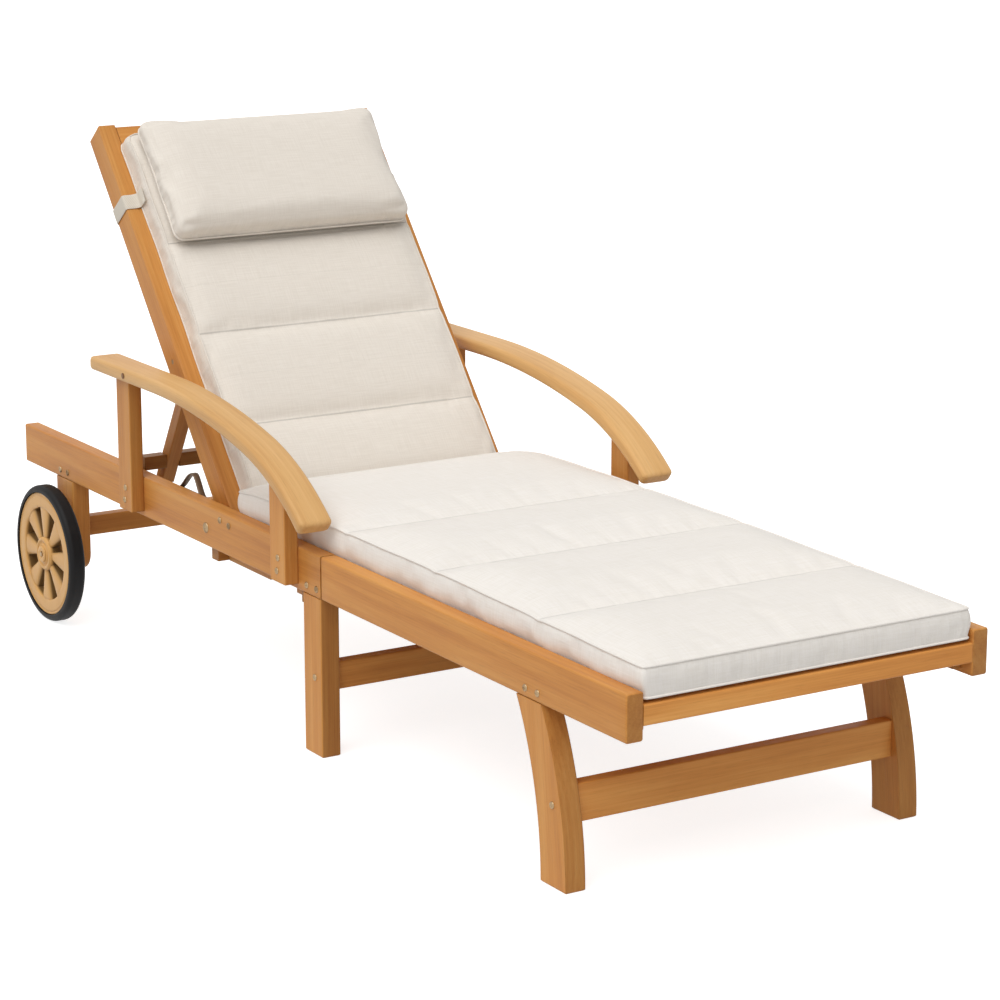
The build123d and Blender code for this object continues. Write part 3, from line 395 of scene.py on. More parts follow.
for number, (name, node) in enumerate(sorted(nodes.items())):
    stem = name.replace("_left", "").replace("_right", "")
    if stem not in woodPieces:
        stem = stem.replace("_rear", "").replace("_front", "")
    if stem in woodPieces:
        grain, boards, tone = woodPieces[stem]
        dress(node, woodFinish(name + "Wood", grain, number + 1, boards, tone,
                               cheek=footShades.get(stem, 0.0)))
    elif stem in plainPieces:
        dress(node, plainPieces[stem])
print("wood, metal and rubber finishes on the CAD pieces")


# ---- mesh helpers: a shell is its points, its quads and the many-cornered faces at its ends

def meshObject(name, points, quads, ends, material, body="frame", layers=None):
    # layers holds, by name, one (u, v) for each corner of each face, in metres
    mesh = bpy.data.meshes.new(name)
    mesh.from_pydata(points.tolist(), [], quads.tolist() + [list(end) for end in ends])
    for layerName, values in (layers or {}).items():
        mesh.uv_layers.new(name=layerName).data.foreach_set("uv", values.astype(np.float32).ravel())
    mesh.polygons.foreach_set("use_smooth", np.full(len(mesh.polygons), True))
    mesh.update()
    mesh.materials.append(material)
    made = bpy.data.objects.new(name, mesh)
    bpy.context.scene.collection.objects.link(made)
    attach(made, body)
    return made


def quadsOf(grid):
    # quads between neighbouring entries of a 2D table of vertex numbers
    return np.stack([grid[:-1, :-1], grid[1:, :-1], grid[1:, 1:], grid[:-1, 1:]], -1).reshape(-1, 4)


def wrapped(rows, columns, wrapRows=False):
    # a table of vertex numbers whose last column, and last row if asked, repeat the first
    grid = np.arange(rows * columns).reshape(rows, columns)
    grid = np.concatenate([grid, grid[:, :1]], 1)
    return np.concatenate([grid, grid[:1]], 0) if wrapRows else grid


def joined(shells):
    # several shells made into one: each one's vertex numbers move on by the points before it
    starts = np.cumsum([0] + [len(points) for points, quads, ends in shells])
    moved = [(quads + start, [np.add(end, start).tolist() for end in ends])
             for (points, quads, ends), start in zip(shells, starts)]
    return (np.concatenate([points for points, quads, ends in shells]),
            np.concatenate([quads for quads, ends in moved]),
            [end for quads, ends in moved for end in ends])


def turnedRound(quads, ends):
    # the same faces seen from their other side
    return quads[:, ::-1], [end[::-1] for end in ends]


def softCorner(before, corner, after, bend, steps):
    # the quadratic curve that rounds a corner: it starts and ends at most bend away from it,
    # and short of the middle of either side
    share = np.linspace(0, 1, steps)[:, None]
    first, last = (corner + (end - corner) * min(bend / np.linalg.norm(end - corner), 0.45)
                   for end in (before, after))
    return (1 - share) ** 2 * first + 2 * share * (1 - share) * corner + share ** 2 * last


def softLoop(corners, bend, steps=4):
    # a closed outline with its corners rounded
    corners = np.array(corners, float)
    threes = zip(np.roll(corners, 1, 0), corners, np.roll(corners, -1, 0))
    return np.concatenate([softCorner(*three, bend, steps) for three in threes])


def softPath(corners, bend, steps=6):
    # an open line with its inner corners rounded
    corners = np.array(corners, float)
    curves = [softCorner(*three, bend, steps) for three in zip(corners, corners[1:], corners[2:])]
    return np.concatenate([corners[:1]] + curves + [corners[-1:]])


def carried(path, loop, across, closed=False):
    # an outline (wide, out) carried along a path: wide runs along the fixed direction across,
    # out is square to it and to the path; the outline may differ from place to place.
    # Gives a shell and the weave coordinates of its quads
    ahead = np.roll(path, -1, 0) - np.roll(path, 1, 0) if closed else np.gradient(path, axis=0)
    ahead /= np.linalg.norm(ahead, axis=1)[:, None]
    wide = across - (ahead @ across)[:, None] * ahead
    wide /= np.linalg.norm(wide, axis=1)[:, None]
    out = np.cross(ahead, wide)
    loops = np.broadcast_to(loop, (len(path),) + loop.shape[-2:])
    points = path[:, None] + loops[..., :1] * wide[:, None] + loops[..., 1:] * out[:, None]
    count = loops.shape[1]
    grid = wrapped(len(path), count, closed)
    gone = np.concatenate([[0], np.cumsum(np.linalg.norm(np.diff(path, axis=0), axis=1))])
    gone = np.append(gone, gone[-1] + np.linalg.norm(path[0] - path[-1]))
    middle = loops[len(path) // 2]
    girth = np.concatenate([[0], np.cumsum(np.linalg.norm(np.roll(middle, -1, 0) - middle, axis=1))])
    rows = np.repeat(np.arange(len(grid) - 1), count)
    columns = np.tile(np.arange(count), len(grid) - 1)
    weave = np.stack([np.stack([gone[rows + down], girth[columns + over]], -1)
                      for down, over in [(0, 1), (1, 1), (1, 0), (0, 0)]], 1)
    ends = [] if closed else [grid[0, :count].tolist()[::-1], grid[-1, :count].tolist()]
    return points.reshape(-1, 3), quadsOf(grid)[:, ::-1], ends, weave


circleLoop = np.stack([np.cos(np.arange(8) * math.pi / 4), np.sin(np.arange(8) * math.pi / 4)], -1)
barLoop = [(-0.5, -0.5), (0.5, -0.5), (0.5, 0.5), (-0.5, 0.5)]


# ---- cushions: a skin of cloth over a crowned block, moved by a short cloth simulation

# what the three cushions share, in metres but for the shares, the power and the turns
padShape = {"nearLine": 0.004, "dipReach": 0.010, "sagReach": 0.035, "leanReach": 0.10,
            "bulgeFrom": 0.25, "bulgeOver": 0.15, "sidePower": 6, "wander": 0.0006,
            "wanderTurns": 41, "sewnAt": 0.0042, "sewnFaint": 0.0014, "noSeam": 9.0,
            "topWeltLift": -0.0002}
clothSettings = {"quality": 6, "mass": 0.25, "tension_stiffness": 20.0,
                 "compression_stiffness": 20.0, "shear_stiffness": 8.0, "use_pressure": True,
                 "vertex_group_mass": "held"}
clothSteps = 20

def boxSkin(cellsLong, cellsWide, cellsHigh):
    # the skin of a box of cells: each vertex's three lattice numbers, the quads of its six
    # sides, and which axis each quad faces. The quads face outwards where along, across and
    # out are right-handed, as on the seat cushion. On the back cushion and the pillow they
    # are left-handed, and the quads face inwards
    size = (cellsLong + 1, cellsWide + 1, cellsHigh + 1)
    index = np.indices(size)
    skin = np.zeros(size, bool)
    for axis, cells in enumerate((cellsLong, cellsWide, cellsHigh)):
        skin |= (index[axis] == 0) | (index[axis] == cells)
    ids = np.full(size, -1)
    ids[skin] = np.arange(skin.sum())
    parts = [(quadsOf(ids[:, :, -1]), 2), (quadsOf(ids[:, :, 0].T), 2),
             (quadsOf(ids[-1, :, :]), 0), (quadsOf(ids[0, :, :].T), 0),
             (quadsOf(ids[:, -1, :].T), 1), (quadsOf(ids[:, 0, :]), 1)]
    quads = np.concatenate([part for part, axis in parts])
    facing = np.concatenate([np.full(len(part), axis) for part, axis in parts])
    return ids, np.argwhere(skin), quads, facing


def atSides(wide, look):
    # near 0 over most of the width and -1 or 1 at the long sides: a high power of the place
    # across, with its sign
    return np.sign(wide) * np.clip(np.abs(wide) / look["half"], 0, 1) ** padShape["sidePower"]


def softPlan(long, wide, look):
    # rounds the corners of the plan: beyond a corner's centre the larger of the two offsets
    # becomes the distance from that centre. Then the long sides draw in a little and wander
    middle, halfLong = (look["start"] + look["end"]) / 2, (look["end"] - look["start"]) / 2
    offLong = np.abs(long - middle) - (halfLong - look["corner"])
    offWide = np.abs(wide) - (look["half"] - look["corner"])
    inside = (offLong <= 0) | (offWide <= 0)
    fromCentre = np.maximum(np.hypot(offLong, offWide), 1e-9)
    share = np.where(inside, 1.0, np.maximum(offLong, offWide) / fromCentre)
    newLong = middle + np.sign(long - middle) * (offLong * share + halfLong - look["corner"])
    newWide = np.sign(wide) * (offWide * share + look["half"] - look["corner"])
    wander = padShape["wander"] * np.sin(long * padShape["wanderTurns"] + np.sign(wide))
    draw = look["draw"] * (1 - ((long - middle) / halfLong) ** 2) + wander
    return newLong, newWide - draw * atSides(wide, look)


def stationsBetween(lines, cell, nearLine):
    # places along a cushion: even cells between its lines, and a closer row each side of them
    places = [lines[0]]
    for first, last in zip(lines, lines[1:]):
        count = max(2, int(round((last - first - 2 * nearLine) / cell)))
        places += list(np.linspace(first + nearLine, last - nearLine, count + 1)) + [last]
    return np.array(places)


def rimOf(ids, row):
    # the vertices round the four sides of a box skin, in order, at one of its rows
    lastLong, lastWide = ids.shape[0] - 1, ids.shape[1] - 1
    ring = np.concatenate([
        np.stack([np.arange(lastLong), np.zeros(lastLong, int)], -1),
        np.stack([np.full(lastWide, lastLong), np.arange(lastWide)], -1),
        np.stack([np.arange(lastLong, 0, -1), np.full(lastLong, lastWide)], -1),
        np.stack([np.zeros(lastWide, int), np.arange(lastWide, 0, -1)], -1)])
    return ids[ring[:, 0], ring[:, 1], row]


def padHeights(long, wide, fromSeam, look):
    # the height of the edge, and of the top over it: the edge dips at each sewn line and sags
    # at the corners, and the top rises by a crown that dies away towards edges and lines
    fromStart, fromSide = long - look["start"], look["half"] - np.abs(wide)
    fromEdge = np.minimum(np.minimum(fromStart, look["end"] - long), fromSide)
    edge = (np.interp(long, *look["edgeAt"])
            - look["dip"] * np.exp(-(fromSeam / padShape["dipReach"]) ** 2))
    for amount, fromEnd in zip(look["sag"], (fromStart, look["end"] - long)):
        fromCorner = np.hypot(fromEnd, fromSide)
        edge = edge - amount * np.exp(-(fromCorner / padShape["sagReach"]) ** 2)
    channel = 1 - look["channel"] * np.exp(-fromSeam / look["seamReach"])
    crown = np.interp(long, *look["crownAt"])
    return edge, edge + crown * (1 - np.exp(-fromEdge / look["shoulder"])) * channel


def padPlan(long, wide, high, look):
    # the soft plan, leaning at its start; roll draws the upper rim in, and under the lower one,
    # by the cube of the height from the middle; belly lets the long sides bulge over the rails,
    # above the part that lies between them
    planLong, planWide = softPlan(long, wide, look)
    leaning = np.clip(1 - (long - look["start"]) / padShape["leanReach"], 0, 1)
    planLong = planLong + look["lean"] * high * leaning
    rolled = look["roll"] * np.abs(np.clip(2 * high - 1, -look["under"], 1)) ** 3
    middle, halfLong = (look["start"] + look["end"]) / 2, (look["end"] - look["start"]) / 2
    planLong = middle + (planLong - middle) * (1 - rolled / halfLong)
    bulge = look["belly"] * np.clip((high - padShape["bulgeFrom"]) / padShape["bulgeOver"], 0, 1)
    return planLong, planWide * (1 - rolled / look["half"]) + bulge * atSides(wide, look)


def padPiece(name, look, body, node, material):
    # long runs along the cushion, wide across it, high from its underside (0) to its top (1)
    longAt = stationsBetween([look["start"]] + look["seams"] + [look["end"]], look["cell"],
                             padShape["nearLine"])
    wideAt = stationsBetween([-look["half"], look["half"]], look["cell"], padShape["nearLine"])
    ids, lattice, quads, facing = boxSkin(len(longAt) - 1, len(wideAt) - 1, look["rows"])
    long, wide = longAt[lattice[:, 0]], wideAt[lattice[:, 1]]
    high = lattice[:, 2] / look["rows"]
    onTop = lattice[:, 2] == look["rows"]
    seams = np.array(look["seams"] + [look["start"] - padShape["noSeam"]])
    nearest = seams[np.argmin(np.abs(long[:, None] - seams[None]), axis=1)]
    fromSeam = np.abs(long - nearest)
    edge, top = padHeights(long, wide, fromSeam, look)
    planLong, planWide = padPlan(long, wide, high, look)
    points = (look["origin"] + planLong[:, None] * look["along"] + planWide[:, None] * alongY
              + (look["base"] + np.where(onTop, top, edge * high))[:, None] * look["out"])
    corner, axis = quads.ravel(), np.repeat(facing, 4)
    flat = np.stack([long, wide, high * edge], -1)[corner]
    weave = np.where((axis == 2)[:, None], flat[:, [0, 1]],
                     np.where((axis == 1)[:, None], flat[:, [0, 2]], flat[:, [1, 2]]))
    onTopFace = (axis == 2) & onTop[corner]
    # the sides are sewn a little above the bottom edge, and below the top edge if that is piped; the
    # painted shade of the line there is faint, as if always a little to its side
    fromRim = edge * (np.minimum(high, 1 - high) if look["piped"] else high)
    fromWelt = np.maximum(np.abs(fromRim - padShape["sewnAt"]), padShape["sewnFaint"])[corner]
    onTopSeam = np.stack([wide[corner], (long - nearest)[corner]], -1)
    onSideSeam = np.stack([weave[:, 0], np.where(axis == 2, 1.0, fromWelt)], -1)
    seamLayer = np.where(onTopFace[:, None], onTopSeam, onSideSeam)
    pad = meshObject(name, points, quads, [], material, body, {"weave": weave, "seam": seamLayer})
    topEdge, lowEdge = rimOf(ids, look["rows"]), rimOf(ids, 0)
    held = ((fromSeam < 1e-6) & onTop) | (lattice[:, 2] == 0)
    held[topEdge] = look["piped"]
    settle(pad, points, held, look)
    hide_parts(node)
    smoother = pad.modifiers.new("smoother", "SUBSURF")
    smoother.levels = smoother.render_levels = 1
    welts = [("LowWelt", lowEdge, look["welt"])]
    if look["piped"]:
        welts.append(("TopWelt", topEdge, padShape["topWeltLift"]))
    for label, edgeRing, lift in welts:
        path = points[edgeRing] + look["out"] * lift
        tube, sidesRound, ends, tubeWeave = carried(path, circleLoop * look["welt"], look["out"], True)
        meshObject(name + label, tube, sidesRound, ends, material, body,
                           {"weave": tubeWeave, "seam": np.ones_like(tubeWeave)})


def settle(pad, rest, held, look):
    # the cloth moves under pressure while the held points stay, and each point goes at most cap
    # from its place. The pressure acts along the faces: it lifts the seat cushion's skin, and
    # draws in the skins of the back cushion and the pillow, whose faces point inwards
    group = pad.vertex_groups.new(name="held")
    group.add(np.flatnonzero(held).tolist(), 1.0, "REPLACE")
    cloth = pad.modifiers.new("settle", "CLOTH")
    for key, value in clothSettings.items():
        setattr(cloth.settings, key, value)
    cloth.settings.bending_stiffness = look["stiff"]
    cloth.settings.uniform_pressure_force = look["pressure"]
    cloth.settings.shrink_min = -look["spare"]
    cloth.settings.effector_weights.gravity = 0.0
    cloth.point_cache.frame_start, cloth.point_cache.frame_end = 1, clothSteps
    scene = bpy.context.scene
    for step in range(1, clothSteps + 1):
        scene.frame_set(step)
    solved = pad.evaluated_get(bpy.context.evaluated_depsgraph_get())
    points = np.empty(len(rest) * 3, np.float32)
    solved.data.vertices.foreach_get("co", points)
    move = points.reshape(-1, 3) - rest
    far = np.linalg.norm(move, axis=1)
    move *= np.minimum(1.0, look["cap"] / np.maximum(far, 1e-9))[:, None]
    pad.modifiers.remove(cloth)
    pad.data.vertices.foreach_set("co", (rest + move).astype(np.float32).ravel())
    pad.data.update()
    scene.frame_set(1)
    print(pad.name, "settled, furthest move before the cap", round(float(far.max()) * 1000, 1),
          "mm, mean", round(float(far.mean()) * 1000, 2))


seatPad = {
    "origin": np.array([0.0, 0.0, 0.3163]), "along": alongX, "out": alongZ,
    "start": -0.1905, "end": 0.9965, "half": 0.2810, "base": 0.0, "lean": -0.004,
    "roll": 0.0035, "under": 0.0, "belly": 0.0045, "sag": (0.005, 0.0), "piped": True,
    "edgeAt": ([-0.2, 0.05, 0.45, 0.8, 1.0], [0.0505, 0.0545, 0.0545, 0.0485, 0.0445]),
    "crownAt": ([0.1, 0.4, 0.7], [0.008, 0.013, 0.016]), "shoulder": 0.028,
    "channel": 0.95, "seamReach": 0.030, "dip": 0.0015, "seams": [0.172, 0.446, 0.732],
    "corner": 0.009, "draw": 0.0020, "cell": 0.0105, "rows": 5, "welt": 0.0019,
    "pressure": 3.0, "stiff": 2.0, "spare": 0.006, "cap": 0.007, "fill": 0.7,
    "slot": "cushion_linen",
}
backPad = {
    "origin": pivot, "along": upBack, "out": outBack,
    "start": 0.0015, "end": 0.7395, "half": 0.2420, "base": 0.0248, "lean": 0.0,
    "roll": 0.0035, "under": 0.0, "belly": 0.0, "sag": (0.003, 0.005), "piped": True,
    "edgeAt": ([0.0, 1.0], [0.0380, 0.0380]),
    "crownAt": ([0.0, 1.0], [0.016, 0.016]), "shoulder": 0.018, "channel": 0.95,
    "seamReach": 0.022, "dip": 0.0030, "seams": [0.148, 0.330, 0.512],
    "corner": 0.014, "draw": 0.0020, "cell": 0.0105, "rows": 5, "welt": 0.0015,
    "pressure": 3.0, "stiff": 2.0, "spare": 0.010, "cap": 0.006, "fill": 0.7,
    "slot": "cushion_linen",
}
pillow = {
    "origin": pivot, "along": upBack, "out": outBack,
    "start": 0.504, "end": 0.739, "half": 0.2300, "base": 0.0765, "lean": 0.0,
    "roll": 0.009, "under": 0.5, "belly": 0.0, "sag": (0.004, 0.002), "piped": False,
    "edgeAt": ([0.506, 0.727], [0.0365, 0.0280]),
    "crownAt": ([0.0, 1.0], [0.020, 0.020]), "shoulder": 0.018, "channel": 0.0,
    "seamReach": 0.020, "dip": 0.0, "seams": [],
    "corner": 0.018, "draw": 0.0030, "cell": 0.0085, "rows": 6, "welt": 0.0016,
    "pressure": 3.0, "stiff": 2.0, "spare": 0.010, "cap": 0.006, "fill": 0.8,
    "slot": "pillow_linen",
}
padPiece("seatCushion", seatPad, "frame", "seat_cushion", linenFinish("seatLinen"))
padPiece("backCushion", backPad, "backrest", "back_cushion", linenFinish("backLinen", shadedBackLook))
padPiece("headPillow", pillow, "backrest", "head_pillow", linenFinish("pillowLinen", pillowLook))
print("cushions made")


# ---- straps of the back cushion: a flat band round each stile

# the band's corners are (wide, out), from the cushion round the outside of the stile
strap = {"at": 0.620, "width": 0.028, "thick": 0.0015, "bend": 0.004, "edgeRound": 0.4,
         "corners": [(0.2432, 0.050), (0.2436, 0.0285), (0.2530, 0.0258), (0.2710, 0.0258),
                     (0.2714, -0.0254), (0.246, -0.0256)]}


webbing = webbingFinish("strapWebbing")
strapLoop = softLoop(barLoop, strap["edgeRound"]) * (strap["width"], strap["thick"])
for side, sign in sides.items():
    path = softPath([pivot + upBack * strap["at"] + outBack * out + sign * alongY * wide
                     for wide, out in strap["corners"]], strap["bend"])
    points, quads, ends, weave = carried(path, strapLoop, upBack)
    weave = np.concatenate([weave.reshape(-1, 2), np.zeros((2 * len(strapLoop), 2))])
    band = meshObject("strap_" + side, points, quads, ends, webbing, "backrest", {"weave": weave})
    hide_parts("cushion_straps")
print("straps made")


# ---- rounded boards: the front rails, and the armrests, whose grain bends with them

def boardShell(line, look):
    # an outline with soft corners carried along a line; at both ends it draws in along a
    # quarter ellipse. Also gives each point's unbent place (along, wide, out)
    half = np.array(look["size"]) / 2
    gone = np.concatenate([[0], np.cumsum(np.linalg.norm(np.diff(line, axis=0), axis=1))])
    turn = np.linspace(0, math.pi / 2, 6)
    nearEnd, drawIn = look["endLong"] * (1 - np.cos(turn)), 1 - np.sin(turn)
    between = np.linspace(look["endLong"], gone[-1] - look["endLong"], look["stations"])[1:-1]
    stations = np.concatenate([nearEnd, between, gone[-1] - nearEnd[::-1]])
    drawIn = np.concatenate([drawIn, np.zeros(len(between)), drawIn[::-1]])
    loops = (softLoop(np.array(barLoop) * 2 * half, look["round"], 5)
             * (1 - drawIn[:, None, None] * np.array(look["endIn"]) / half))
    path = np.stack([np.interp(stations, gone, line[:, axis]) for axis in range(3)], -1)
    lengthwise = np.broadcast_to(stations[:, None, None], loops.shape[:2] + (1,))
    unbent = np.concatenate([lengthwise, loops], -1)
    return carried(path, loops, alongY)[:3], unbent.reshape(-1, 3)


rail = {"rear": (0.1475, 0.298, 0.295), "foot": (1.0, 0.298, 0.295), "size": (0.028, 0.070),
        "round": 0.004, "endLong": 0.003, "endIn": (0.003, 0.003), "stations": 40}
for side, sign in sides.items():
    shell = boardShell(np.array([rail["rear"], rail["foot"]]) * (1, sign, 1), rail)[0]
    board = meshObject("frontRail_" + side, *shell, nodes["front_rail_" + side].data.materials[0])
    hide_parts("front_rail_" + side)

# an armrest runs level from its rear to bend, and then down two arcs
arm = {"size": (0.058, 0.024), "round": 0.008, "endLong": 0.008, "endIn": (0.009, 0.005),
       "stations": 90, "outer": 0.350, "rear": (-0.620, 0.5135), "bend": -0.380,
       "radii": (1.462, 0.462), "turns": (13.2, 27.4), "levelSteps": 14, "arcSteps": 26,
       "seed": 71}
here, heading = np.array([arm["bend"], arm["rear"][1]]), 0.0
spans = [np.linspace(arm["rear"], here, arm["levelSteps"])]
for radius, turn in zip(arm["radii"], arm["turns"]):
    # along an arc the place is its centre plus its radius times (sine, cosine) of the heading
    centre = here - radius * np.array([math.sin(heading), math.cos(heading)])
    turned = heading + np.radians(np.linspace(0, turn, arm["arcSteps"]))[1:]
    spans.append(centre + radius * np.stack([np.sin(turned), np.cos(turned)], -1))
    here, heading = spans[-1][-1], turned[-1]
middleLine = np.concatenate(spans)
for number, (side, sign) in enumerate(sides.items()):
    line = np.insert(middleLine, 1, sign * (arm["outer"] - arm["size"][0] / 2), axis=1)
    shell, unbent = boardShell(line, arm)
    board = meshObject("armBoard_" + side, *shell,
                       woodFinish("armWood_" + side, alongX, arm["seed"] + number, look=armLook,
                                  straight=True))
    board.data.attributes.new("straight", "FLOAT_VECTOR", "POINT").data.foreach_set(
        "vector", unbent.astype(np.float32).ravel())
    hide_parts("armrest_" + side)
print("armrests made")


# ---- wheels: rim, fluted spokes, hub and its cap

# rimGroove is (distance in from the rim's outside, depth), hubGroove (radius, depth), and
# capInside and capOutside (distance from that edge of the cap, height over the hub)
wheel = {"centre": (-0.829, 0.125), "rim": (0.085, 0.1125), "face": (0.331, 0.357),
         "edgeDrop": 0.001, "innerSlope": 0.004,
         "rimGroove": [(0.007, 0.0), (0.006, 0.0012), (0.004, 0.0012), (0.003, 0.0)],
         "spokes": 8, "spoke": (0.027, 0.088), "spokeShare": 0.50, "spokeInset": 0.0015,
         "spokeStations": 9, "spokeRound": 0.16,
         "hub": 0.031, "hubFace": (0.3288, 0.360), "bore": 0.0061, "recess": (0.0106, 0.3544),
         "hubGroove": [(0.0175, 0.0), (0.0190, 0.003), (0.0225, 0.003), (0.024, 0.0005)],
         "hubEdge": (0.003, 0.0005, 0.004), "cap": (0.0047, 0.016),
         "capInside": [(0.0, 0.0001), (0.0, 0.0018), (0.001, 0.0018), (0.004, 0.0028)],
         "capOutside": [(0.004, 0.0028), (0.0005, 0.0016), (0.0, 0.0001)],
         "bends": (0.0015, 0.0012, 0.001), "capRounds": 48, "seed": 5}
spokeOutline = [(-0.5, 0.0), (0.5, 0.0), (0.5, 0.90), (0.22, 1.0), (-0.22, 1.0), (-0.5, 0.90)]


def turnedSolid(profile, bend, rounds=96):
    # a closed profile (radius, y) carried round the axle
    loop = softLoop(profile, bend)
    turn = np.linspace(0, 2 * math.pi, rounds, endpoint=False)
    points = np.stack([loop[:, :1] * np.cos(turn), np.broadcast_to(loop[:, 1:], (len(loop), rounds)),
                       loop[:, :1] * np.sin(turn)], -1).reshape(-1, 3)
    return points, quadsOf(wrapped(len(loop), rounds, True))[:, ::-1], []


def spokes(look):
    # at each radius the outline is a rounded block with a domed front, wider further out
    outline = softLoop(spokeOutline, look["spokeRound"])
    reach = np.linspace(*look["spoke"], look["spokeStations"])[:, None]
    low, top = look["face"]
    inset = look["spokeInset"]
    sideways = outline[None, :, 0] * reach * look["spokeShare"]
    depth = low + inset + outline[None, :, 1] * (top - low - 2 * inset)
    depth = np.broadcast_to(depth, sideways.shape)
    grid = wrapped(len(reach), len(outline))
    ends = [grid[0, :-1].tolist(), grid[-1, :-1].tolist()[::-1]]
    turns = np.arange(look["spokes"]) * 2 * math.pi / look["spokes"]
    return [(np.stack([reach * math.cos(turn) - sideways * math.sin(turn), depth,
                       reach * math.sin(turn) + sideways * math.cos(turn)], -1).reshape(-1, 3),
             quadsOf(grid), ends) for turn in turns]


def onWheel(shell, sign):
    # from the axle's own frame to the left or right wheel; mirroring turns the faces round
    points, quads, ends = shell
    placed = points * (1.0, sign, 1.0) + (wheel["centre"][0], 0.0, wheel["centre"][1])
    return (placed,) + ((quads, ends) if sign > 0 else turnedRound(quads, ends))


low, top = wheel["face"]
inner, outer = wheel["rim"]
edgeTop = top - wheel["edgeDrop"]
rimProfile = [(inner, low), (inner, edgeTop), (inner + wheel["innerSlope"], top)]
rimProfile += [(outer - inset, top - deep) for inset, deep in wheel["rimGroove"]]
rimProfile += [(outer, edgeTop), (outer, low)]
hubLow, hubTop = wheel["hubFace"]
edgeIn, edgeHigh, edgeLow = wheel["hubEdge"]
hubProfile = [(wheel["bore"], hubLow), (wheel["bore"], wheel["recess"][1]), wheel["recess"],
              (wheel["recess"][0], hubTop)]
hubProfile += [(radius, hubTop - deep) for radius, deep in wheel["hubGroove"]]
hubProfile += [(wheel["hub"] - edgeIn, hubTop - edgeHigh), (wheel["hub"], hubTop - edgeLow),
               (wheel["hub"], hubLow)]
capIn, capOut = wheel["cap"]
capProfile = [(capIn + inset, hubTop + rise) for inset, rise in wheel["capInside"]]
capProfile += [(capOut - inset, hubTop + rise) for inset, rise in wheel["capOutside"]]
rimBend, hubBend, capBend = wheel["bends"]
wheelWood = woodFinish("wheelWood", alongZ, wheel["seed"], look=wheelLook)
for side, sign in sides.items():
    disc = joined([turnedSolid(rimProfile, rimBend), turnedSolid(hubProfile, hubBend)]
                  + spokes(wheel))
    cap = turnedSolid(capProfile, capBend, wheel["capRounds"])
    for name, shell, node in (("wheelDisc_", disc, "wheel_"), ("wheelCap_", cap, "hub_cap_")):
        dressed = meshObject(name + side, *onWheel(shell, sign), wheelWood, "wheel_" + side)
        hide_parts(node + side)
print("wheels made")


# ---- screw and bolt heads: domed, with a cross recess; places are (x, z) on the near and far face

screwHead = {"radius": 0.0055, "height": 0.0025, "recess": 0.0012}
heads = {
    "frame_bolts": dict(screwHead, face=0.312, places=[
        (-0.200, 0.315), (-0.168, 0.312), (-0.845, 0.274), (-0.813, 0.274), (0.101, 0.274),
        (0.133, 0.274), (0.7463, 0.274), (0.7783, 0.274), (-0.822, 0.170), (0.124, 0.1285),
        (0.8175, 0.1215)]),
    "post_screws": dict(screwHead, face=0.336, places=[
        (-0.517, 0.288), (-0.513, 0.310), (0.0465, 0.288), (0.0505, 0.310)]),
    "pivot_bolts": {"radius": 0.009, "height": 0.003, "recess": 0.0014, "face": 0.312,
                    "places": [(pivot[0], pivot[2])]},
}
dome = {"flatten": 0.96, "least": 0.04, "armWide": 0.17, "armLong": 0.62, "sunk": -0.001,
        "rings": 13, "rounds": 32}


def domes(look, sign):
    # height over the face: a flattened dome less a cross whose arms fade towards the rim
    reach = look["radius"] * np.append(np.linspace(0, 1, dome["rings"])[1:], 1.0)
    turn = np.linspace(0, 2 * math.pi, dome["rounds"], endpoint=False)
    x, z = reach[:, None] * np.cos(turn), reach[:, None] * np.sin(turn)
    rounded = np.clip(1 - dome["flatten"] * (reach / look["radius"]) ** 3, dome["least"], 1)
    height = look["height"] * np.sqrt(rounded)[:, None] + 0 * x
    thin, thick = np.minimum(np.abs(x), np.abs(z)), np.maximum(np.abs(x), np.abs(z))
    across = np.exp(-(thin / (look["radius"] * dome["armWide"])) ** 4)
    lengthwise = np.exp(-(thick / (look["radius"] * dome["armLong"])) ** 8)
    height -= look["recess"] * across * lengthwise
    height[-1] = dome["sunk"]
    points = np.stack([x, sign * height, z], -1).reshape(-1, 3)
    grid = wrapped(len(reach), dome["rounds"])
    quads, ends = quadsOf(grid), [grid[0, :-1].tolist(), grid[-1, :-1].tolist()[::-1]]
    faces = turnedRound(quads, ends) if sign > 0 else (quads, ends)
    return [(points + (placeX, sign * look["face"], placeZ), *faces)
            for placeX, placeZ in look["places"]]


for node, look in heads.items():
    shells = [shell for sign in sides.values() for shell in domes(look, sign)]
    made = meshObject(node + "Heads", *joined(shells), zinc)
    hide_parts(node)
print("bolt and screw heads made")


# ---- spring bows on the racks: a flat strap with one smooth hump over it

bow = {"rear": -0.424, "front": -0.326, "peak": -0.361, "foot": 0.322, "rise": 0.035,
       "width": 0.011, "thick": 0.0036, "y": 0.2775, "edgeRound": 0.3, "stations": 60}
bowLoop = softLoop(barLoop, bow["edgeRound"]) * (bow["width"], bow["thick"])
for side, sign in sides.items():
    # height: the square of a cosine that is 1 at the peak and 0 at either end
    x = np.linspace(bow["rear"], bow["front"], bow["stations"])
    toEnd = np.where(x < bow["peak"], bow["peak"] - bow["rear"], bow["front"] - bow["peak"])
    share = (x - bow["peak"]) / toEnd
    hump = bow["foot"] + bow["rise"] * np.cos(share * math.pi / 2) ** 2
    shells = [carried(np.stack([x, np.full_like(x, sign * bow["y"]), height], -1), bowLoop, alongY)[:3]
              for height in (hump, np.full_like(x, bow["foot"]))]
    made = meshObject("rackBow_" + side, *joined(shells), darkSteel)
    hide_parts("rack_bows")
print("bows made")


# ---- camera, lights and ground

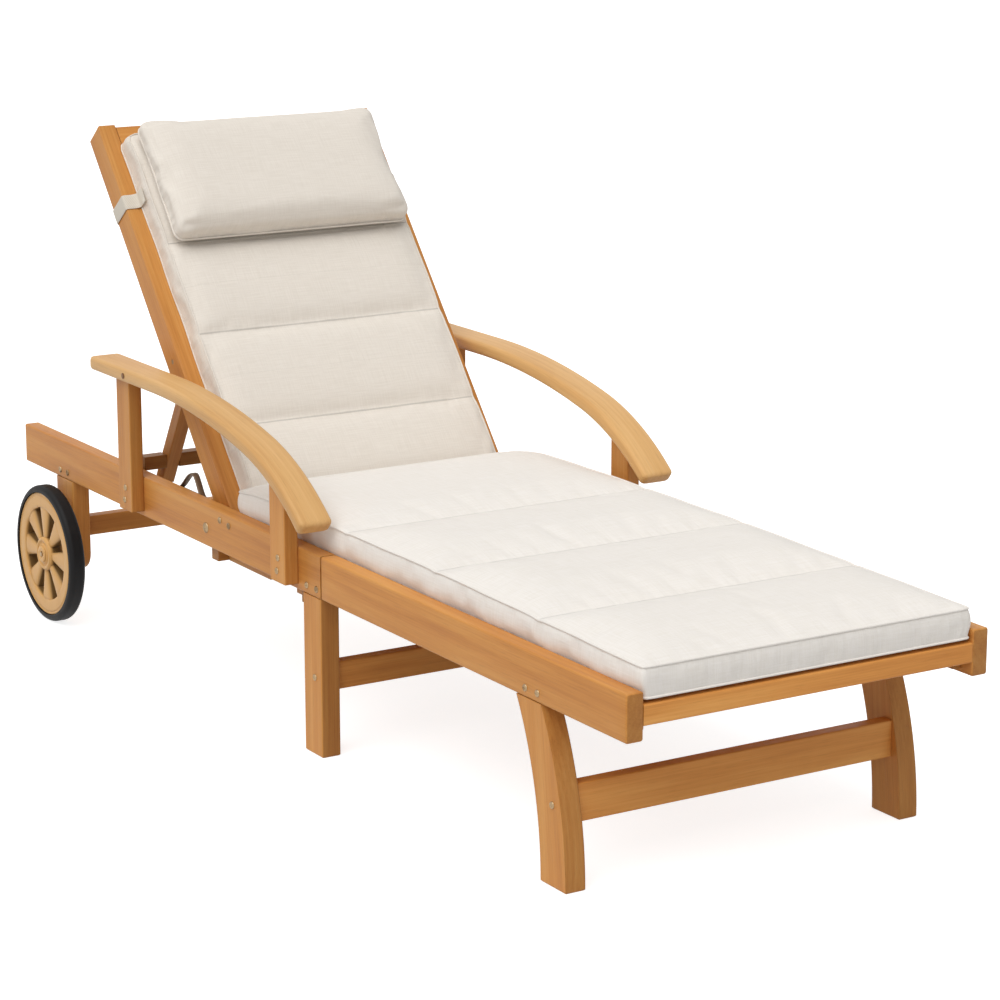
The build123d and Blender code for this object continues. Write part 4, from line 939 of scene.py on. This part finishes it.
view = {"azimuth": 58.33, "elevation": 13.62, "place": (4.3063, -2.5495, 1.5632),
        "lens": 112.81, "sensor": 36.0, "clipEnd": 100.0}
light = {"key": 2.0, "keyFrom": (0.25, -0.42, 0.87), "keySoftness": 60.0, "keyHeight": 3.0,
         "ambient": 0.45, "floor": 0.60, "floorGlow": 0.78, "floorRough": 0.9,
         "floorReach": 14.0}
azimuth, elevation = math.radians(view["azimuth"]), math.radians(view["elevation"])
backward = np.array([math.sin(azimuth) * math.cos(elevation), -math.cos(azimuth) * math.cos(elevation),
                     math.sin(elevation)])
rightward = np.array([math.cos(azimuth), math.sin(azimuth), 0.0])


def facing(away, right, place):
    # a camera or lamp looks along -Z: its axes are right, away x right and away
    turned = np.eye(4)
    turned[:3] = np.stack([right, np.cross(away, right), away, place], -1)
    return Matrix(turned.tolist())


camera = bpy.data.objects.new("camera", bpy.data.cameras.new("camera"))
bpy.context.scene.collection.objects.link(camera)
camera.data.lens, camera.data.sensor_width = view["lens"], view["sensor"]
camera.data.clip_end = view["clipEnd"]
camera.matrix_world = facing(backward, rightward, view["place"])
bpy.context.scene.camera = camera
bpy.context.scene.view_settings.view_transform = "Standard"

key = bpy.data.objects.new("keyLight", bpy.data.lights.new("keyLight", "SUN"))
bpy.context.scene.collection.objects.link(key)
key.data.energy = light["key"]
key.data.angle = math.radians(light["keySoftness"])
fromKey = np.array(light["keyFrom"]) / np.linalg.norm(light["keyFrom"])
keyRight = np.cross(alongZ, fromKey) / np.linalg.norm(np.cross(alongZ, fromKey))
key.matrix_world = facing(fromKey, keyRight, light["keyHeight"] * alongZ)

bpy.context.scene.world = bpy.data.worlds.new("studio")
studio = Finish(bpy.context.scene.world, "ShaderNodeOutputWorld")
studio.shown("ShaderNodeBackground", Color=(1.0, 1.0, 1.0, 1.0),
             Strength=studio.seenDirectly() * (1.0 - light["ambient"]) + light["ambient"])

reach = light["floorReach"]
ground = Finish(bpy.data.materials.new("paleFloor"))
glow = ground.seenDirectly() * light["floorGlow"]
ground.surface(Base_Color=(light["floor"],) * 3 + (1.0,), Roughness=light["floorRough"],
               Emission_Color=ground.shade((1.0, 1.0, 1.0), glow), Emission_Strength=1.0)
floorMesh = bpy.data.meshes.new("floor")
floorCorners = [(-reach, -reach, 0.0), (reach, -reach, 0.0), (reach, reach, 0.0), (-reach, reach, 0.0)]
floorMesh.from_pydata(floorCorners, [], [(0, 1, 2, 3)])
floorMesh.materials.append(ground.owner)
floor = bpy.data.objects.new("floor", floorMesh)
bpy.context.scene.collection.objects.link(floor)
print("camera, lights and floor set")
